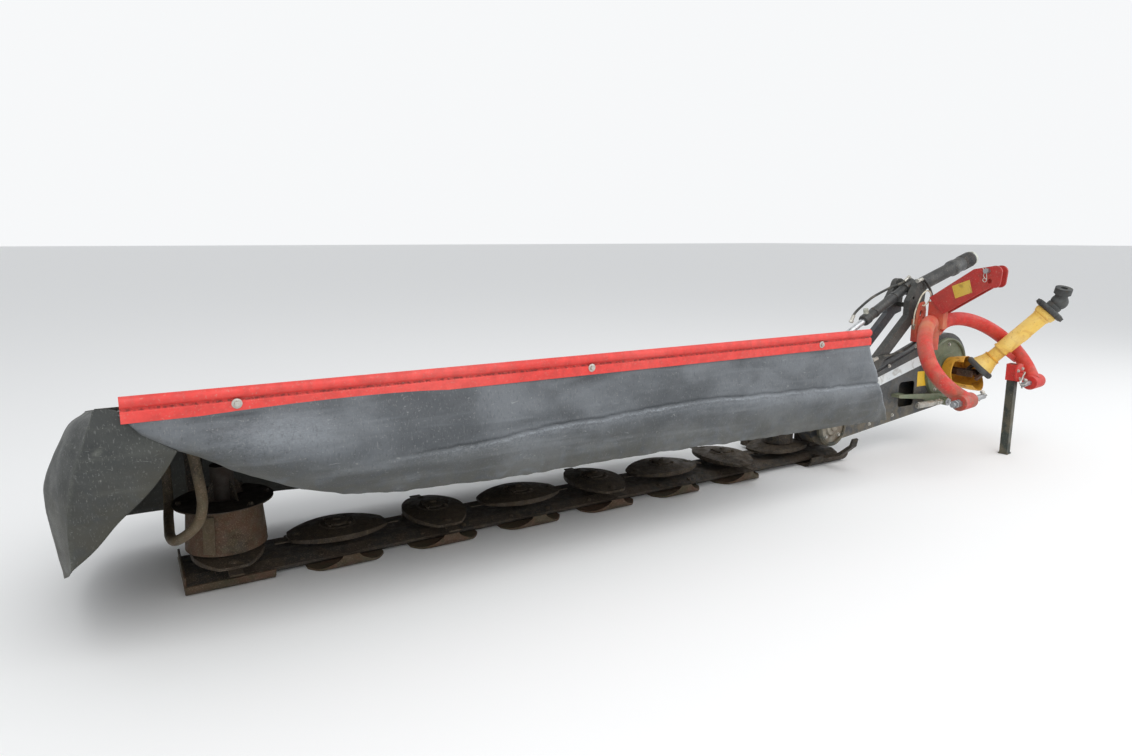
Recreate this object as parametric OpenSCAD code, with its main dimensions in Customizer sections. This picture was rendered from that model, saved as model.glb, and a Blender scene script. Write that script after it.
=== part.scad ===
// Mounted disc mower with eight oval discs, parked on its cutterbar and its stand.
// +X runs outward along the cutterbar, +Y forward, +Z up, and z = 0 is the ground.
// Places are given from the first disc's axis; placed() moves them to the part's own origin.

/* [Cutterbar] */
// Distance between two disc axes
disc_pitch = 400; // [396:1:410]
// Length of an oval disc
disc_long = 380; // [370:1:384]
// Width of an oval disc
disc_wide = 250; // [230:1:260]
// Thickness of a disc's rim
disc_thick = 10; // [6:1:14]
// Height of the dome over a disc's rim
disc_dome = 24; // [16:1:30]
// Radius that a knife's tip reaches
knife_reach = 240; // [230:1:244]
// Width of a knife
knife_wide = 46; // [40:1:50]
// Thickness of a knife
knife_thick = 5; // [4:1:6]
// Depth of the cutterbar's case, front to back
bar_depth = 250; // [220:1:280]
// Height of the cutterbar's case
bar_high = 46; // [40:1:50]
// Thickness of a skid's sole
sole_thick = 8; // [6:1:10]
// Length of a skid, front to back
skid_long = 380; // [340:1:420]
// Width of a skid
skid_wide = 290; // [240:1:330]
// Radius of a skid's upturned nose
skid_nose = 58; // [40:1:64]
// Running gap between parts that turn on each other
run_gap = 0.3; // [0.3:0.1:1]

/* [Crop drums] */
// Height of the end drum's flange over the ground
drum_top = 285; // [270:1:300]
// Diameter of the drum at its foot
drum_wide = 280; // [260:1:300]
// Diameter of the drum under its flange
drum_neck = 256; // [240:1:270]
// Diameter of the drum's flange
drum_flange = 340; // [320:1:360]
// Height of the inner drum over its disc
inner_drum_high = 90; // [70:1:92]
// Diameter of the inner drum
inner_drum_wide = 165; // [150:1:180]

/* [Guard] */
// Length of the guard along the cutterbar
guard_long = 3010; // [2990:1:3030]
// Where the guard's inner end lies, outward from the first disc's axis
guard_start = 80; // [60:1:90]
// Where the front rail's face lies, forward from the disc axes
rail_front = 625; // [610:1:640]
// Height of the front rail's upper edge
rail_top = 805; // [790:1:815]
// Height of the front rail, top to bottom
rail_high = 72; // [64:1:80]
// Radius of the roll along the rail's upper edge
rail_roll = 17; // [14:1:20]
// Thickness of the guard's sheet metal
sheet_thick = 4; // [3:1:5]
// How far the canopy falls from front to back, in degrees
canopy_fall = 11.5; // [11:0.5:13]
// Where the canopy's rear edge lies, back from the disc axes
canopy_back = 450; // [430:1:470]
// Where the canopy's inner edge lies, outward from the first disc's axis
canopy_start = 400; // [390:1:430]
// Thickness of a curtain's fabric
cloth_thick = 4; // [3:1:6]
// Outer diameter of the hoop's tube
hoop_tube = 38; // [32:1:42]

/* [Carrier] */
// Height of the lift pivot
pivot_z = 220; // [215:1:225]
// Where the lift pivot lies, inward from the first disc's axis
pivot_in = 190; // [185:1:195]
// Distance from the lift pivot to the drive pulley along the bar
belt_run = 1030; // [1000:1:1050]
// How far the drive pulley lies over the lift pivot
belt_rise = 220; // [200:1:240]
// Depth of the belt housing, front to back
housing_deep = 96; // [90:1:100]
// Thickness of the belt housing's sheet
housing_wall = 4.5; // [4:0.5:5]
// Radius of the round cover on the drive pulley
drive_cover_r = 188; // [180:1:195]
// Radius of the round cover on the lift pivot
pivot_cover_r = 104; // [98:1:108]
// Width of the carrier's front strut
strut_wide = 60; // [50:1:66]
// Thickness of the carrier's front strut
strut_thick = 40; // [36:1:44]

/* [Lift cylinder] */
// Height of the cylinder's trunnion
trunnion_z = 945; // [935:1:955]
// Where the trunnion lies, inward from the first disc's axis
trunnion_in = 880; // [870:1:890]
// Outer diameter of the cylinder below the trunnion
barrel_wide = 56; // [52:1:60]
// Outer diameter of the tube above the trunnion
tail_wide = 92; // [88:1:92]
// Length of the cylinder below the trunnion
barrel_long = 410; // [400:1:420]
// Length of the tube above the trunnion
tail_long = 500; // [480:1:520]
// Diameter of the rod
rod_wide = 35; // [30:1:40]

/* [Headstock] */
// Turn of the headstock against the cutterbar, in degrees
head_turn = 8.3; // [6:0.1:10]
// Distance between the middles of the two lower hitch bosses
hitch_span = 825; // [800:1:850]
// Height of the lower hitch pins
hitch_z = 420; // [410:1:430]
// Diameter of a lower hitch pin's stub
hitch_pin = 28; // [27:0.1:28.7]
// Diameter of the hole that a lower hitch pin is bolted through
hitch_bolt = 25; // [24:0.1:26]
// Diameter of the top link pin's holes
top_pin_hole = 25.7; // [25:0.1:26]
// Outer diameter of the headstock's legs
leg_tube = 88; // [84:1:90]
// Clear width between the mast's plates
mast_gap = 56; // [50:1:60]
// Thickness of a mast plate
mast_plate = 12; // [10:1:14]

/* [Stand] */
// Width of the stand's square tube
stand_tube = 42; // [38:1:44]
// Sliding gap around the stand's tube
stand_gap = 0.5; // [0.4:0.1:1]
// Length of the stand's tube
stand_long = 520; // [510:1:540]

/* [Driveline] */
// Outer diameter of the inner guard tube
shield_tube = 76; // [70:1:78]
// Outer diameter of the outer guard tube
shield_sleeve = 90; // [86:1:94]
// Outer diameter of a guard ring
ring_wide = 160; // [150:1:166]
// Diameter of the tractor yoke's bore
yoke_bore = 35; // [34:0.1:36]
// Outer diameter of the input bell
bell_wide = 190; // [180:1:196]

/* [Hidden] */
$fn = 48;
facet = 32;

disc_count = 8;
last_disc = (disc_count - 1) * disc_pitch;
pivot_x = -pivot_in;
drive_x = pivot_x - belt_run;
drive_z = pivot_z + belt_rise;
trunnion = [-trunnion_in, trunnion_z];
guard_end = guard_start + guard_long;
origin_x = 844;
origin_y = 164.15;

// Heights along the cutterbar, each resting on the one before
bar_floor = sole_thick;
bar_top = bar_floor + bar_high;
hub_floor = bar_top + run_gap;
rim_floor = 86;
rim_top = rim_floor + disc_thick;
dome_top = rim_top + disc_dome;

module placed() {
    translate([-origin_x, -origin_y, 0]) children();
}

// Extrudes an X-Z outline from one Y to another
module slab(y_from, y_to) {
    translate([0, y_to, 0]) rotate([90, 0, 0]) linear_extrude(y_to - y_from) children();
}

// Extrudes a Y-Z outline from one X to another
module run_x(x_from, x_to) {
    translate([x_from, 0, 0]) rotate([90, 0, 90]) linear_extrude(x_to - x_from) children();
}

// A cylinder between two points
module rod_between(from, to, r) {
    axis = to - from;
    span = norm(axis);
    translate(from)
        rotate([0, acos(axis[2] / span), atan2(axis[1], axis[0])])
            cylinder(h = span, r = r);
}

// Puts children at a point, with their +Z along a direction and turned about it
module aimed(point, direction, roll = 0) {
    span = norm(direction);
    translate(point)
        rotate([0, acos(direction[2] / span), atan2(direction[1], direction[0])])
            rotate([0, 0, roll]) children();
}

// Outline of two circles and the straight sides along both, set in by a hair so that they cross
module belt_outline(from, r_from, to, r_to) {
    tuck = 0.05;
    a = r_from - tuck;
    b = r_to - tuck;
    axis = to - from;
    heading = atan2(axis[1], axis[0]);
    lean = acos((r_from - r_to) / norm(axis));
    n1 = [cos(heading + lean), sin(heading + lean)];
    n2 = [cos(heading - lean), sin(heading - lean)];
    translate(from) circle(r_from);
    translate(to) circle(r_to);
    polygon([from + a * n1, to + b * n1, to + b * n2, from + a * n2]);
}

// Points of a cubic curve through its four control points
function curve(c, steps) = [for (i = [0:steps]) let (t = i / steps, u = 1 - t)
    u * u * u * c[0] + 3 * u * u * t * c[1] + 3 * u * t * t * c[2] + t * t * t * c[3]];

function unit(v) = v / norm(v);
function tangent(p, i) = unit(p[min(i + 1, len(p) - 1)] - p[max(i - 1, 0)]);
function side(t) = unit(abs(t[2]) > 0.9 ? cross(t, [1, 0, 0]) : cross(t, [0, 0, 1]));

// A round tube swept along points
module swept(p, r, sides) {
    rings = [for (i = [0:len(p) - 1]) let (t = tangent(p, i), a = side(t), b = cross(t, a))
        for (k = [0:sides - 1]) p[i] + r * cos(360 * k / sides) * a + r * sin(360 * k / sides) * b];
    last = (len(p) - 1) * sides;
    faces = concat(
        [[for (k = [0:sides - 1]) k]],
        [for (i = [0:len(p) - 2]) for (k = [0:sides - 1]) let (n = (k + 1) % sides)
            [i * sides + k, (i + 1) * sides + k, (i + 1) * sides + n, i * sides + n]],
        [[for (k = [sides - 1:-1:0]) last + k]]);
    polyhedron(points = rings, faces = faces, convexity = 6);
}

// Headstock, in its own frame: x across the tractor, y forward, turned by head_turn
head_x = -843;
boss_y = 678;
junction_y = 292;
junction_z = 720;
leg_r = leg_tube / 2;
boss_half = 46;
boss_long = boss_half + 80;
mast_half = mast_gap / 2 + mast_plate;

module head_frame() {
    translate([head_x, 0, 0]) rotate([0, 0, head_turn]) children();
}

function leg_points(s) = curve([[s * 40, junction_y, junction_z], [s * 150, 417, 868],
    [s * 762, 395, 579], [s * hitch_span / 2, boss_y, hitch_z]], 18);

// One bent leg with the boss that its hitch pin passes through; s is 1 for the near side
module leg(s) {
    difference() {
        union() {
            swept(leg_points(s), leg_r, 20);
            translate([s * (hitch_span / 2 - boss_half), boss_y, hitch_z])
                rotate([0, s * 90, 0]) cylinder(h = boss_long, r = leg_r + 2);
        }
        translate([s * (hitch_span / 2 - boss_half - 1), boss_y, hitch_z])
            rotate([0, s * 90, 0]) cylinder(h = boss_long + 2, d = hitch_bolt);
    }
}

junction_half = 74;

// Upright between the legs and the mast, with the near leg and the lug for the release
module headstock() {
    color("orangered") placed() {
        head_frame() {
            leg(1);
            translate([0, junction_y - 20, junction_z - 120]) cylinder(h = 150, r = 50);
            translate([0, junction_y - 20, junction_z - 14])
                rotate([0, 90, 0]) cylinder(h = 2 * junction_half, r = leg_r - 4, center = true);
            translate([-mast_gap / 2, junction_y - 30, junction_z]) cube([mast_gap, 90, 150]);
            release_lug();
        }
        // Foot that bolts the headstock to the front strut
        translate([-874, strut_y + strut_thick, 640]) cube([64, 50, 128]);
    }
}

// Plate behind the junction with a hook-shaped hole
module release_lug() {
    translate([46, junction_y - 60, 0]) rotate([90, 0, 0]) linear_extrude(12) difference() {
        polygon([[-60, 660], [20, 650], [34, 700], [30, 800], [8, 858], [-40, 866], [-60, 820]]);
        translate([-8, 802]) circle(19);
        translate([-24, 776]) circle(14);
    }
}

// Leg on the tractor's far side, with the finger that holds the driveline while parked
module far_leg() {
    color("orangered") placed() {
        head_frame() difference() {
            union() {
                leg(-1);
                translate([-500, stand_at[1] - 10, stand_plate_z - 24])
                    cube([500 + stand_at[0] - stand_box / 2, 20, 54]);
            }
            translate([-junction_half, 0, 0]) cube([600, 1500, 1200]);
        }
        shaft_finger();
    }
}

// The mast is two plates, each an outline in the y-z plane with a rounded tip
mast_pin = [566, 1050];
mast_hole = [578, 996];
module mast_outline() {
    difference() {
        union() {
            polygon([[269, 892], [351, 806], [574, 958], [632, 985], [636, 1040], [600, 1078], [495, 1057]]);
            translate([602, 1044]) circle(34);
            translate([604, 990]) circle(28);
        }
        translate(mast_pin) circle(d = top_pin_hole);
        translate(mast_hole) circle(d = top_pin_hole);
    }
}

module mast() {
    color("firebrick") placed() head_frame() {
        for (s = [-1, 1])
            translate([s * (mast_gap + mast_plate) / 2 - mast_plate / 2, 0, 0])
                rotate([90, 0, 90]) linear_extrude(mast_plate) mast_outline();
        // Web between the plates, short of the pins
        translate([-mast_gap / 2, 0, 0]) rotate([90, 0, 90]) linear_extrude(mast_gap)
            polygon([[388, 892], [396, 884], [470, 938], [462, 946]]);
    }
}

module top_link_pin() {
    color("silver") placed() head_frame() {
        translate([-mast_half - 22, mast_pin[0], mast_pin[1]]) rotate([0, 90, 0])
            cylinder(h = 2 * mast_half + 52, d = top_pin_hole - 0.6);
        translate([-mast_half - 26, mast_pin[0], mast_pin[1]]) rotate([0, 90, 0])
            cylinder(h = 5, d = top_pin_hole + 12);
    }
}

// A hitch pin: the stub that the link arm takes, and a threaded tail with its nuts
module hitch_pin_solid(s, stub, tail) {
    translate([s * (hitch_span / 2 - boss_half), boss_y, hitch_z]) {
        difference() {
            union() {
                translate([-s * stub, 0, 0]) rotate([0, s * 90, 0]) cylinder(h = stub - run_gap, d = hitch_pin);
                translate([-s * 10, 0, 0]) rotate([0, s * 90, 0])
                    cylinder(h = 10 + boss_long + tail, d = hitch_bolt - 2 * run_gap);
            }
            translate([-s * (stub - 22), 0, -40]) cylinder(h = 80, d = 12);
        }
        translate([s * (boss_long + run_gap), 0, 0]) rotate([0, s * 90, 0])
            cylinder(h = 24, d = 42, $fn = 6);
        translate([s * (boss_long + 34), 0, 0]) rotate([0, s * 90, 0])
            cylinder(h = 14, d = 42, $fn = 6);
    }
}

module near_hitch_pin() {
    color("silver") placed() head_frame() hitch_pin_solid(1, 150, 70);
}

module far_hitch_pin() {
    color("silver") placed() head_frame() hitch_pin_solid(-1, 90, 60);
}

// Carrier: two struts and the belt housing between them
housing_y = 60;
housing_front = housing_y + housing_deep;
strut_y = housing_front + run_gap;
rear_y = 22;
rear_thick = 32;
cylinder_y = 105;
housing_r_pivot = 112;
housing_r_drive = 218;

module pivot_block() {
    color("dimgray") placed() difference() {
        union() {
            slab(rear_y, rear_y + rear_thick) block_outline();
            slab(strut_y, strut_y + strut_thick) block_outline();
            translate([trunnion[0] - 30, rear_y + 8, 826])
                cube([38, strut_y + strut_thick - rear_y - 16, 24]);
        }
        translate([trunnion[0], rear_y - 1, trunnion[1]]) rotate([-90, 0, 0])
            cylinder(h = 300, d = 40);
    }
}

module block_outline() {
    difference() {
        union() {
            translate(trunnion) circle(44);
            polygon([[trunnion[0] - 40, trunnion[1] - 10], [trunnion[0] - 30, 826], [trunnion[0] + 96, 826],
                [trunnion[0] + 96, 870], [trunnion[0] + 40, trunnion[1] + 10]]);
        }
        translate([trunnion[0] + 66, 886]) circle(9);
    }
}

// Centre line of the struts, from below the block to the lift pivot
strut_top = [-840, 800];
strut_left = -910;
module strut_bar(wide, end_r, y_from, thick) {
    pivot = [pivot_x, pivot_z];
    d = unit(strut_top - pivot);
    n = [d[1], -d[0]];
    difference() {
        union() {
            slab(y_from, y_from + thick) polygon([pivot - n * wide / 2, strut_top - n * wide / 2,
                [strut_left, strut_top[1] - 4], [strut_left, 825.7], [strut_left + 126, 825.7],
                [strut_left + 126, strut_top[1] - 10], pivot + n * wide / 2]);
            slab(y_from, y_from + thick) translate(pivot) circle(end_r);
        }
        slab(y_from - 1, y_from + thick + 1) translate(pivot) circle(30 + run_gap);
    }
}

module front_strut() {
    color("darkslategray") placed() strut_bar(strut_wide, 70, strut_y, strut_thick);
}

module rear_strut() {
    color("slategray") placed() strut_bar(50, 60, rear_y, rear_thick);
}

module housing_outline(shrink) {
    belt_outline([pivot_x, pivot_z], housing_r_pivot - shrink, [drive_x, drive_z], housing_r_drive - shrink);
}

window_x = -946;
window_z = 246;
window_wide = 142;
window_high = 148;

module window_outline() {
    r = 22;
    translate([window_x + r, window_z]) square([window_wide - 2 * r, window_high]);
    translate([window_x, window_z + r]) square([window_wide, window_high - 2 * r]);
    for (x = [window_x + r, window_x + window_wide - r])
        for (z = [window_z + r, window_z + window_high - r])
            translate([x, z]) circle(r);
}

module belt_housing() {
    color("dimgray") placed() difference() {
        union() {
            slab(housing_y, housing_front) housing_outline(0);
            housing_ribs();
        }
        slab(housing_y + housing_wall, housing_front - housing_wall) housing_outline(housing_wall);
        slab(housing_front - housing_wall - 1, housing_front + 1) window_outline();
        translate([pivot_x, 0, pivot_z]) rotate([-90, 0, 0]) cylinder(h = 300, r = 34);
        translate([drive_x, 0, drive_z]) rotate([-90, 0, 0]) cylinder(h = 300, r = 22 + run_gap);
    }
}

// Two folded ribs along the housing's upper edge
module housing_ribs() {
    heading = atan2(belt_rise, belt_run);
    lean = asin((housing_r_drive - housing_r_pivot) / norm([belt_run, belt_rise]));
    slope = heading + lean;
    for (row = [[18, 10], [78, 6]])
        translate([drive_x, 0, drive_z]) rotate([0, slope, 0])
            translate([180, housing_front - row[0], housing_r_drive - 12])
                cube([420, 8, 12 + row[1]]);
}

module drive_cover() {
    color("darkseagreen") placed() translate([drive_x, housing_front, drive_z]) rotate([-90, 0, 0])
        difference() {
            rotate_extrude() polygon([[32, 0], [drive_cover_r, 0], [drive_cover_r, 20],
                [drive_cover_r - 8, 26], [drive_cover_r - 14, 20], [drive_cover_r - 14, 12], [104, 12], [98, 26],
                [32, 26]]);
        }
}

module pivot_cover() {
    color("lightgray") placed() translate([pivot_x, strut_y + strut_thick, pivot_z]) rotate([-90, 0, 0])
        rotate_extrude() polygon([[0, 0], [pivot_cover_r, 0], [pivot_cover_r, 14], [pivot_cover_r - 10, 20],
            [pivot_cover_r - 16, 12], [52, 12], [46, 22], [24, 22], [20, 30], [0, 30]]);
}

// Latch of the break-away device: a bracket across the window, a roller and a threaded rod
latch_y = 205;
latch_z = 262;
module latch_bracket() {
    color("black") placed() {
        slab(latch_y - 10, latch_y) polygon([[-742, 336], [-1250, 296], [-1262, 240], [-1030, 236],
            [-980, 286], [-742, 316]]);
        translate([-800, housing_front, 318]) cube([60, latch_y - housing_front - 10, 16]);
        translate([-1140, latch_y, latch_z]) rotate([-90, 0, 0]) cylinder(h = 46, r = 24);
    }
}

module latch_rod() {
    color("silver") placed() {
        translate([-1116, latch_y + 23, latch_z]) rotate([0, 90, 0]) {
            translate([0, 0, run_gap]) cylinder(h = 240, r = 12);
            translate([0, 0, 90]) cylinder(h = 130, r = 18);
        }
    }
}

// Driveline: universal joint centre, direction of the parked shaft and the axis it swings about
joint_at = [drive_x, 340, drive_z];
shaft_dir = unit([-200, 280, 382]);
swing_dir = unit(cross(shaft_dir, [1, 0, 0]));
reach_dir = unit(cross(swing_dir, shaft_dir));
fork_half = 44;
ear_thick = 12;
ear_r = 18;
fork_reach = 60;
cross_r = 11;
yoke_turn = atan2(swing_dir[2], swing_dir[1]);

function along(s) = joint_at + s * shaft_dir;

// Puts children in the shaft's frame: z along the shaft, x along the swing axis
module shaft_frame(s = 0) {
    m = [[swing_dir[0], reach_dir[0], shaft_dir[0], along(s)[0]],
        [swing_dir[1], reach_dir[1], shaft_dir[1], along(s)[1]],
        [swing_dir[2], reach_dir[2], shaft_dir[2], along(s)[2]], [0, 0, 0, 1]];
    multmatrix(m) children();
}

module input_bell() {
    color("gold") placed() difference() {
        translate([drive_x, housing_front + 26, drive_z]) rotate([-90, 0, 0]) difference() {
            cylinder(h = 260, d = bell_wide);
            translate([0, 0, 5]) cylinder(h = 260, d = bell_wide - 8);
            translate([0, 0, -1]) cylinder(h = 20, r = 30);
        }
        shaft_frame(-26) translate([-300, -300, 0]) cube(600);
        translate([drive_x + 20, housing_front + 90, drive_z - 60]) cube([200, 300, 130]);
    }
}

module input_joint() {
    fork_y = joint_at[1] - fork_reach;
    color("peru") placed() {
        translate([drive_x, housing_y - 40, drive_z]) rotate([-90, 0, 0])
            cylinder(h = fork_y - housing_y + 40 - 7, r = 22);
        translate([drive_x - fork_half, fork_y - 14, drive_z - ear_r]) cube([2 * fork_half, 14, 2 * ear_r]);
        for (s = [-1, 1])
            translate([drive_x + s * (fork_half - ear_thick / 2) - ear_thick / 2, fork_y, drive_z - ear_r])
                cube([ear_thick, fork_reach + ear_r, 2 * ear_r]);
        translate(joint_at) rotate([0, 90, 0]) cylinder(h = 2 * fork_half - 8, r = cross_r, center = true);
        shaft_frame() rotate([0, 90, 0]) cylinder(h = 2 * (fork_half - ear_thick) - 1, r = cross_r - 1, center = true);
    }
}

module shaft_yoke() {
    color("saddlebrown") placed() shaft_frame() {
        for (s = [-1, 1])
            translate([s * (fork_half - ear_thick / 2) - ear_thick / 2, -ear_r, -ear_r])
                cube([ear_thick, 2 * ear_r, fork_reach + ear_r]);
        translate([-fork_half, -ear_r, fork_reach]) cube([2 * fork_half, 2 * ear_r, 14]);
        translate([0, 0, fork_reach + 13]) cylinder(h = 17, r = 24);
    }
}

shield_start = fork_reach + 30;
sleeve_start = 190;
sleeve_end = 500;
module inner_shield() {
    color("khaki") placed() shaft_frame(shield_start) {
        difference() {
            cylinder(h = 330, d = shield_tube);
            translate([0, 0, 6]) cylinder(h = 330, d = shield_tube - 8);
        }
    }
}

module lower_ring() {
    inner = shield_tube / 2 + run_gap;
    color("black") placed() shaft_frame(shield_start + 6) rotate_extrude()
        polygon([[inner, 0], [66, 0], [ring_wide / 2, 6], [ring_wide / 2, 26], [66, 32], [inner, 32]]);
}

module outer_shield() {
    color("khaki") placed() shaft_frame() {
        translate([0, 0, sleeve_start]) difference() {
            cylinder(h = sleeve_end - sleeve_start, d = shield_sleeve);
            translate([0, 0, -1]) cylinder(h = sleeve_end - sleeve_start - 5, d = shield_tube + 2 * run_gap);
        }
    }
}

module upper_ring() {
    color("black") placed() shaft_frame(sleeve_end) rotate_extrude()
        polygon([[0, 0], [62, 0], [ring_wide / 2 + 4, 6], [ring_wide / 2 + 4, 26], [62, 34], [0, 34]]);
}

yoke_dir = unit([30, 60, 200]);
yoke_at = along(sleeve_end + 80);
module tractor_yoke() {
    color("black") placed() {
        shaft_frame(sleeve_end + 34.05) cylinder(h = 20, r = 40);
        translate(yoke_at) sphere(44);
        aimed(yoke_at, yoke_dir) difference() {
            union() {
                cylinder(h = 78, r = 32);
                translate([0, 0, 48]) cylinder(h = 34, r = 43);
            }
            translate([0, 0, 44]) cylinder(h = 60, d = yoke_bore);
        }
    }
}

// Finger under the parked shaft, reaching from the far leg
finger_at = 205;
finger_thick = 12;
module shaft_finger() {
    depth = shield_sleeve / 2 + run_gap;
    shaft_frame(finger_at) translate([depth, -146, -15]) cube([finger_thick, 162, 30]);
}

// Parking stand beside the far leg
stand_at = [-330, 602];
stand_plate_r = 52;
stand_plate_z = 476;
stand_wall = 6;
stand_box = stand_tube + 2 * stand_gap + 2 * stand_wall;
module stand_bracket() {
    w = stand_tube + 2 * stand_gap;
    color("firebrick") placed() head_frame() translate([stand_at[0], stand_at[1], 0]) {
        difference() {
            union() {
                translate([-stand_box / 2, -stand_box / 2, stand_plate_z - 46])
                    cube([stand_box, stand_box, 92]);
                translate([0, stand_box / 2, stand_plate_z]) rotate([-90, 0, 0])
                    cylinder(h = 8, r = stand_plate_r);
            }
            translate([-w / 2, -w / 2, 0]) cube([w, w, 900]);
        }
        translate([0, stand_box / 2 + 8, stand_plate_z + 6]) rotate([-90, 0, 0]) cylinder(h = 20, r = 6);
    }
}

module stand_leg() {
    color("black") placed() head_frame() translate([stand_at[0], stand_at[1], 0]) {
        difference() {
            translate([-stand_tube / 2, -stand_tube / 2, 0]) cube([stand_tube, stand_tube, stand_long]);
            translate([-stand_tube / 2 + 4, -stand_tube / 2 + 4, 8])
                cube([stand_tube - 8, stand_tube - 8, stand_long]);
        }
    }
}

// Lift cylinder from the trunnion to the lug on the cutterbar
lug_eye = [35, 490];
barrel_dir = unit(lug_eye - trunnion);
barrel_angle = atan2(barrel_dir[1], barrel_dir[0]);
rod_span = norm(lug_eye - trunnion);

// Puts children at the trunnion with +Z down the cylinder
module barrel_frame() {
    translate([trunnion[0], cylinder_y, trunnion[1]]) rotate([0, 90 - barrel_angle, 0]) children();
}

module lift_barrel() {
    color("darkslateblue") placed() barrel_frame() difference() {
        union() {
            cylinder(h = barrel_long, d = barrel_wide);
            translate([0, 0, barrel_long - 46]) cylinder(h = 46, d = barrel_wide + 8);
            translate([0, 0, -36]) cylinder(h = 72, d = 80);
            translate([0, 0, -tail_long]) cylinder(h = tail_long - 20, d = tail_wide - 12);
            translate([0, 0, -tail_long]) cylinder(h = 190, d = tail_wide);
            translate([0, rear_y + 1 - cylinder_y, 0]) rotate([-90, 0, 0])
                cylinder(h = strut_y + strut_thick - rear_y - 2, d = 40 - 2 * run_gap);
        }
        translate([0, 0, -420]) cylinder(h = 421 + barrel_long, d = rod_wide + 1);
    }
}

module barrel_cap() {
    color("wheat") placed() barrel_frame()
        translate([0, 0, -tail_long - 24]) cylinder(h = 24, d = tail_wide - 8);
}

module lift_rod() {
    color("silver") placed() barrel_frame() {
        translate([0, 0, 20]) cylinder(h = rod_span - 40, d = rod_wide);
        translate([0, -eye_half, rod_span]) rotate([-90, 0, 0]) cylinder(h = 2 * eye_half, r = 28);
        translate([0, lug_front + run_gap - cylinder_y, rod_span]) rotate([-90, 0, 0])
            cylinder(h = cylinder_y - lug_front, r = 14);
    }
}

// Everything that rises with the cutterbar
lug_thick = 20;
lug_front = 82;
eye_half = 14;
arm_end = [70, 423];
arm_front = 12;
module lift_lug() {
    color("dimgray") placed() {
        slab(arm_front, lug_front) translate(arm_end) circle(25);
        slab(lug_front - lug_thick, lug_front) difference() {
            belt_outline(arm_end, 38, lug_eye, 34);
            translate(lug_eye) circle(10);
        }
    }
}

bar_start = -345;
module cutterbar() {
    color("gray") placed() {
        run_x(bar_start, last_disc + 150) polygon([[-bar_depth / 2, bar_floor + 8], [-bar_depth / 2 + 20, bar_floor],
            [bar_depth / 2 - 30, bar_floor], [bar_depth / 2, bar_floor + 18], [bar_depth / 2, bar_floor + 28],
            [bar_depth / 2 - 40, bar_top], [-bar_depth / 2 + 12, bar_top], [-bar_depth / 2, bar_top - 14]]);
    }
}

// Side view of a skid's sole: flat, then an upturned nose
module sole_profile(back, front, nose) {
    translate([back, 0]) square([front - nose - back, sole_thick]);
    intersection() {
        translate([front - nose, 0]) square([nose, nose]);
        translate([front - nose, nose]) difference() {
            circle(nose);
            circle(nose - sole_thick);
        }
    }
}

module skids() {
    color("dimgray") placed() for (i = [1:disc_count - 2])
        translate([i * disc_pitch, 0, 0]) intersection() {
            run_x(-skid_wide / 2, skid_wide / 2)
                sole_profile(-skid_long / 2, skid_long / 2 + 20, skid_nose);
            linear_extrude(200) {
                translate([-skid_wide / 2, -skid_long / 2]) square([skid_wide, skid_long / 2 + 40]);
                translate([0, 40]) circle(skid_wide / 2 + 20);
            }
        }
}

// Sole with a ski nose under the cutterbar's inner end
module inner_shoe() {
    color("dimgray") placed() {
        run_x(bar_start, -60) sole_profile(-220, 200, 60);
        run_x(-190, -150) polygon([[125, 40], [180, 40], [300, 86], [372, 150], [380, 190], [370, 194],
            [358, 158], [290, 100], [180, 54], [125, 54]]);
    }
}

module outer_shoe() {
    color("dimgray") placed() {
        run_x(last_disc - 140, last_disc + 190) sole_profile(-230, 260, 110);
        translate([last_disc + 150, -180, sole_thick]) cube([8, 300, 60]);
    }
}

module gearbox() {
    color("dimgray") placed() {
        translate([pivot_x, -130, pivot_z]) rotate([-90, 0, 0]) cylinder(h = 130 + rear_y - run_gap, r = 88);
        translate([pivot_x, 0, pivot_z]) rotate([-90, 0, 0])
            cylinder(h = strut_y + strut_thick - run_gap, r = 30);
        translate([bar_start + 5, -110, bar_top]) cube([88, 120, 200]);
        translate([bar_start + 5, -110, 150]) cube([240, 120, 104 + bar_top - 54]);
        slab(-arm_front, arm_front) belt_outline([pivot_x, pivot_z], 60, arm_end, 36);
    }
}

// Beams, posts and ribs that carry the canopy and the curtains
frame_y = -290;
frame_z = 490;
beam = 60;
beam_start = -95;
module guard_frame() {
    tops = [canopy_start, canopy_start + 850, canopy_start + 1700, guard_end - 70];
    posts = [beam_start, guard_end - 250];
    color("dimgray") placed() {
        translate([beam_start, frame_y - beam / 2, frame_z]) cube([guard_end - beam_start - 60, beam, beam]);
        for (x = posts) {
            translate([x, frame_y - beam / 2, bar_floor + 10]) cube([beam, beam, frame_z - bar_floor - 10]);
            translate([x, frame_y, bar_floor + 10]) cube([beam, -frame_y - bar_depth / 2, 24]);
        }
        for (x = tops)
            run_x(x, x + 8) polygon([[frame_y - beam / 2, frame_z + beam - 1], [frame_y + 100, frame_z + beam - 1],
                [rail_front - 60, canopy_z(rail_front - 60) - 60], [rail_front - 40, canopy_z(rail_front - 40)],
                [frame_y - beam / 2, canopy_z(frame_y - beam / 2)]]);
        // Angle behind the rail, out to both of its ends
        translate([guard_start + 10, rail_back - 24, canopy_z(rail_back - 24) - 30])
            cube([guard_long - 20, 24, 26]);
    }
}

rail_back = rail_front - 2 * rail_roll - sheet_thick;
canopy_front = rail_back;
side_bulge = guard_end + 100;
side_r = 1664;
side_mid = 75;
function canopy_z(y) = rail_top - 34 - (canopy_front - y) * tan(canopy_fall);

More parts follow.
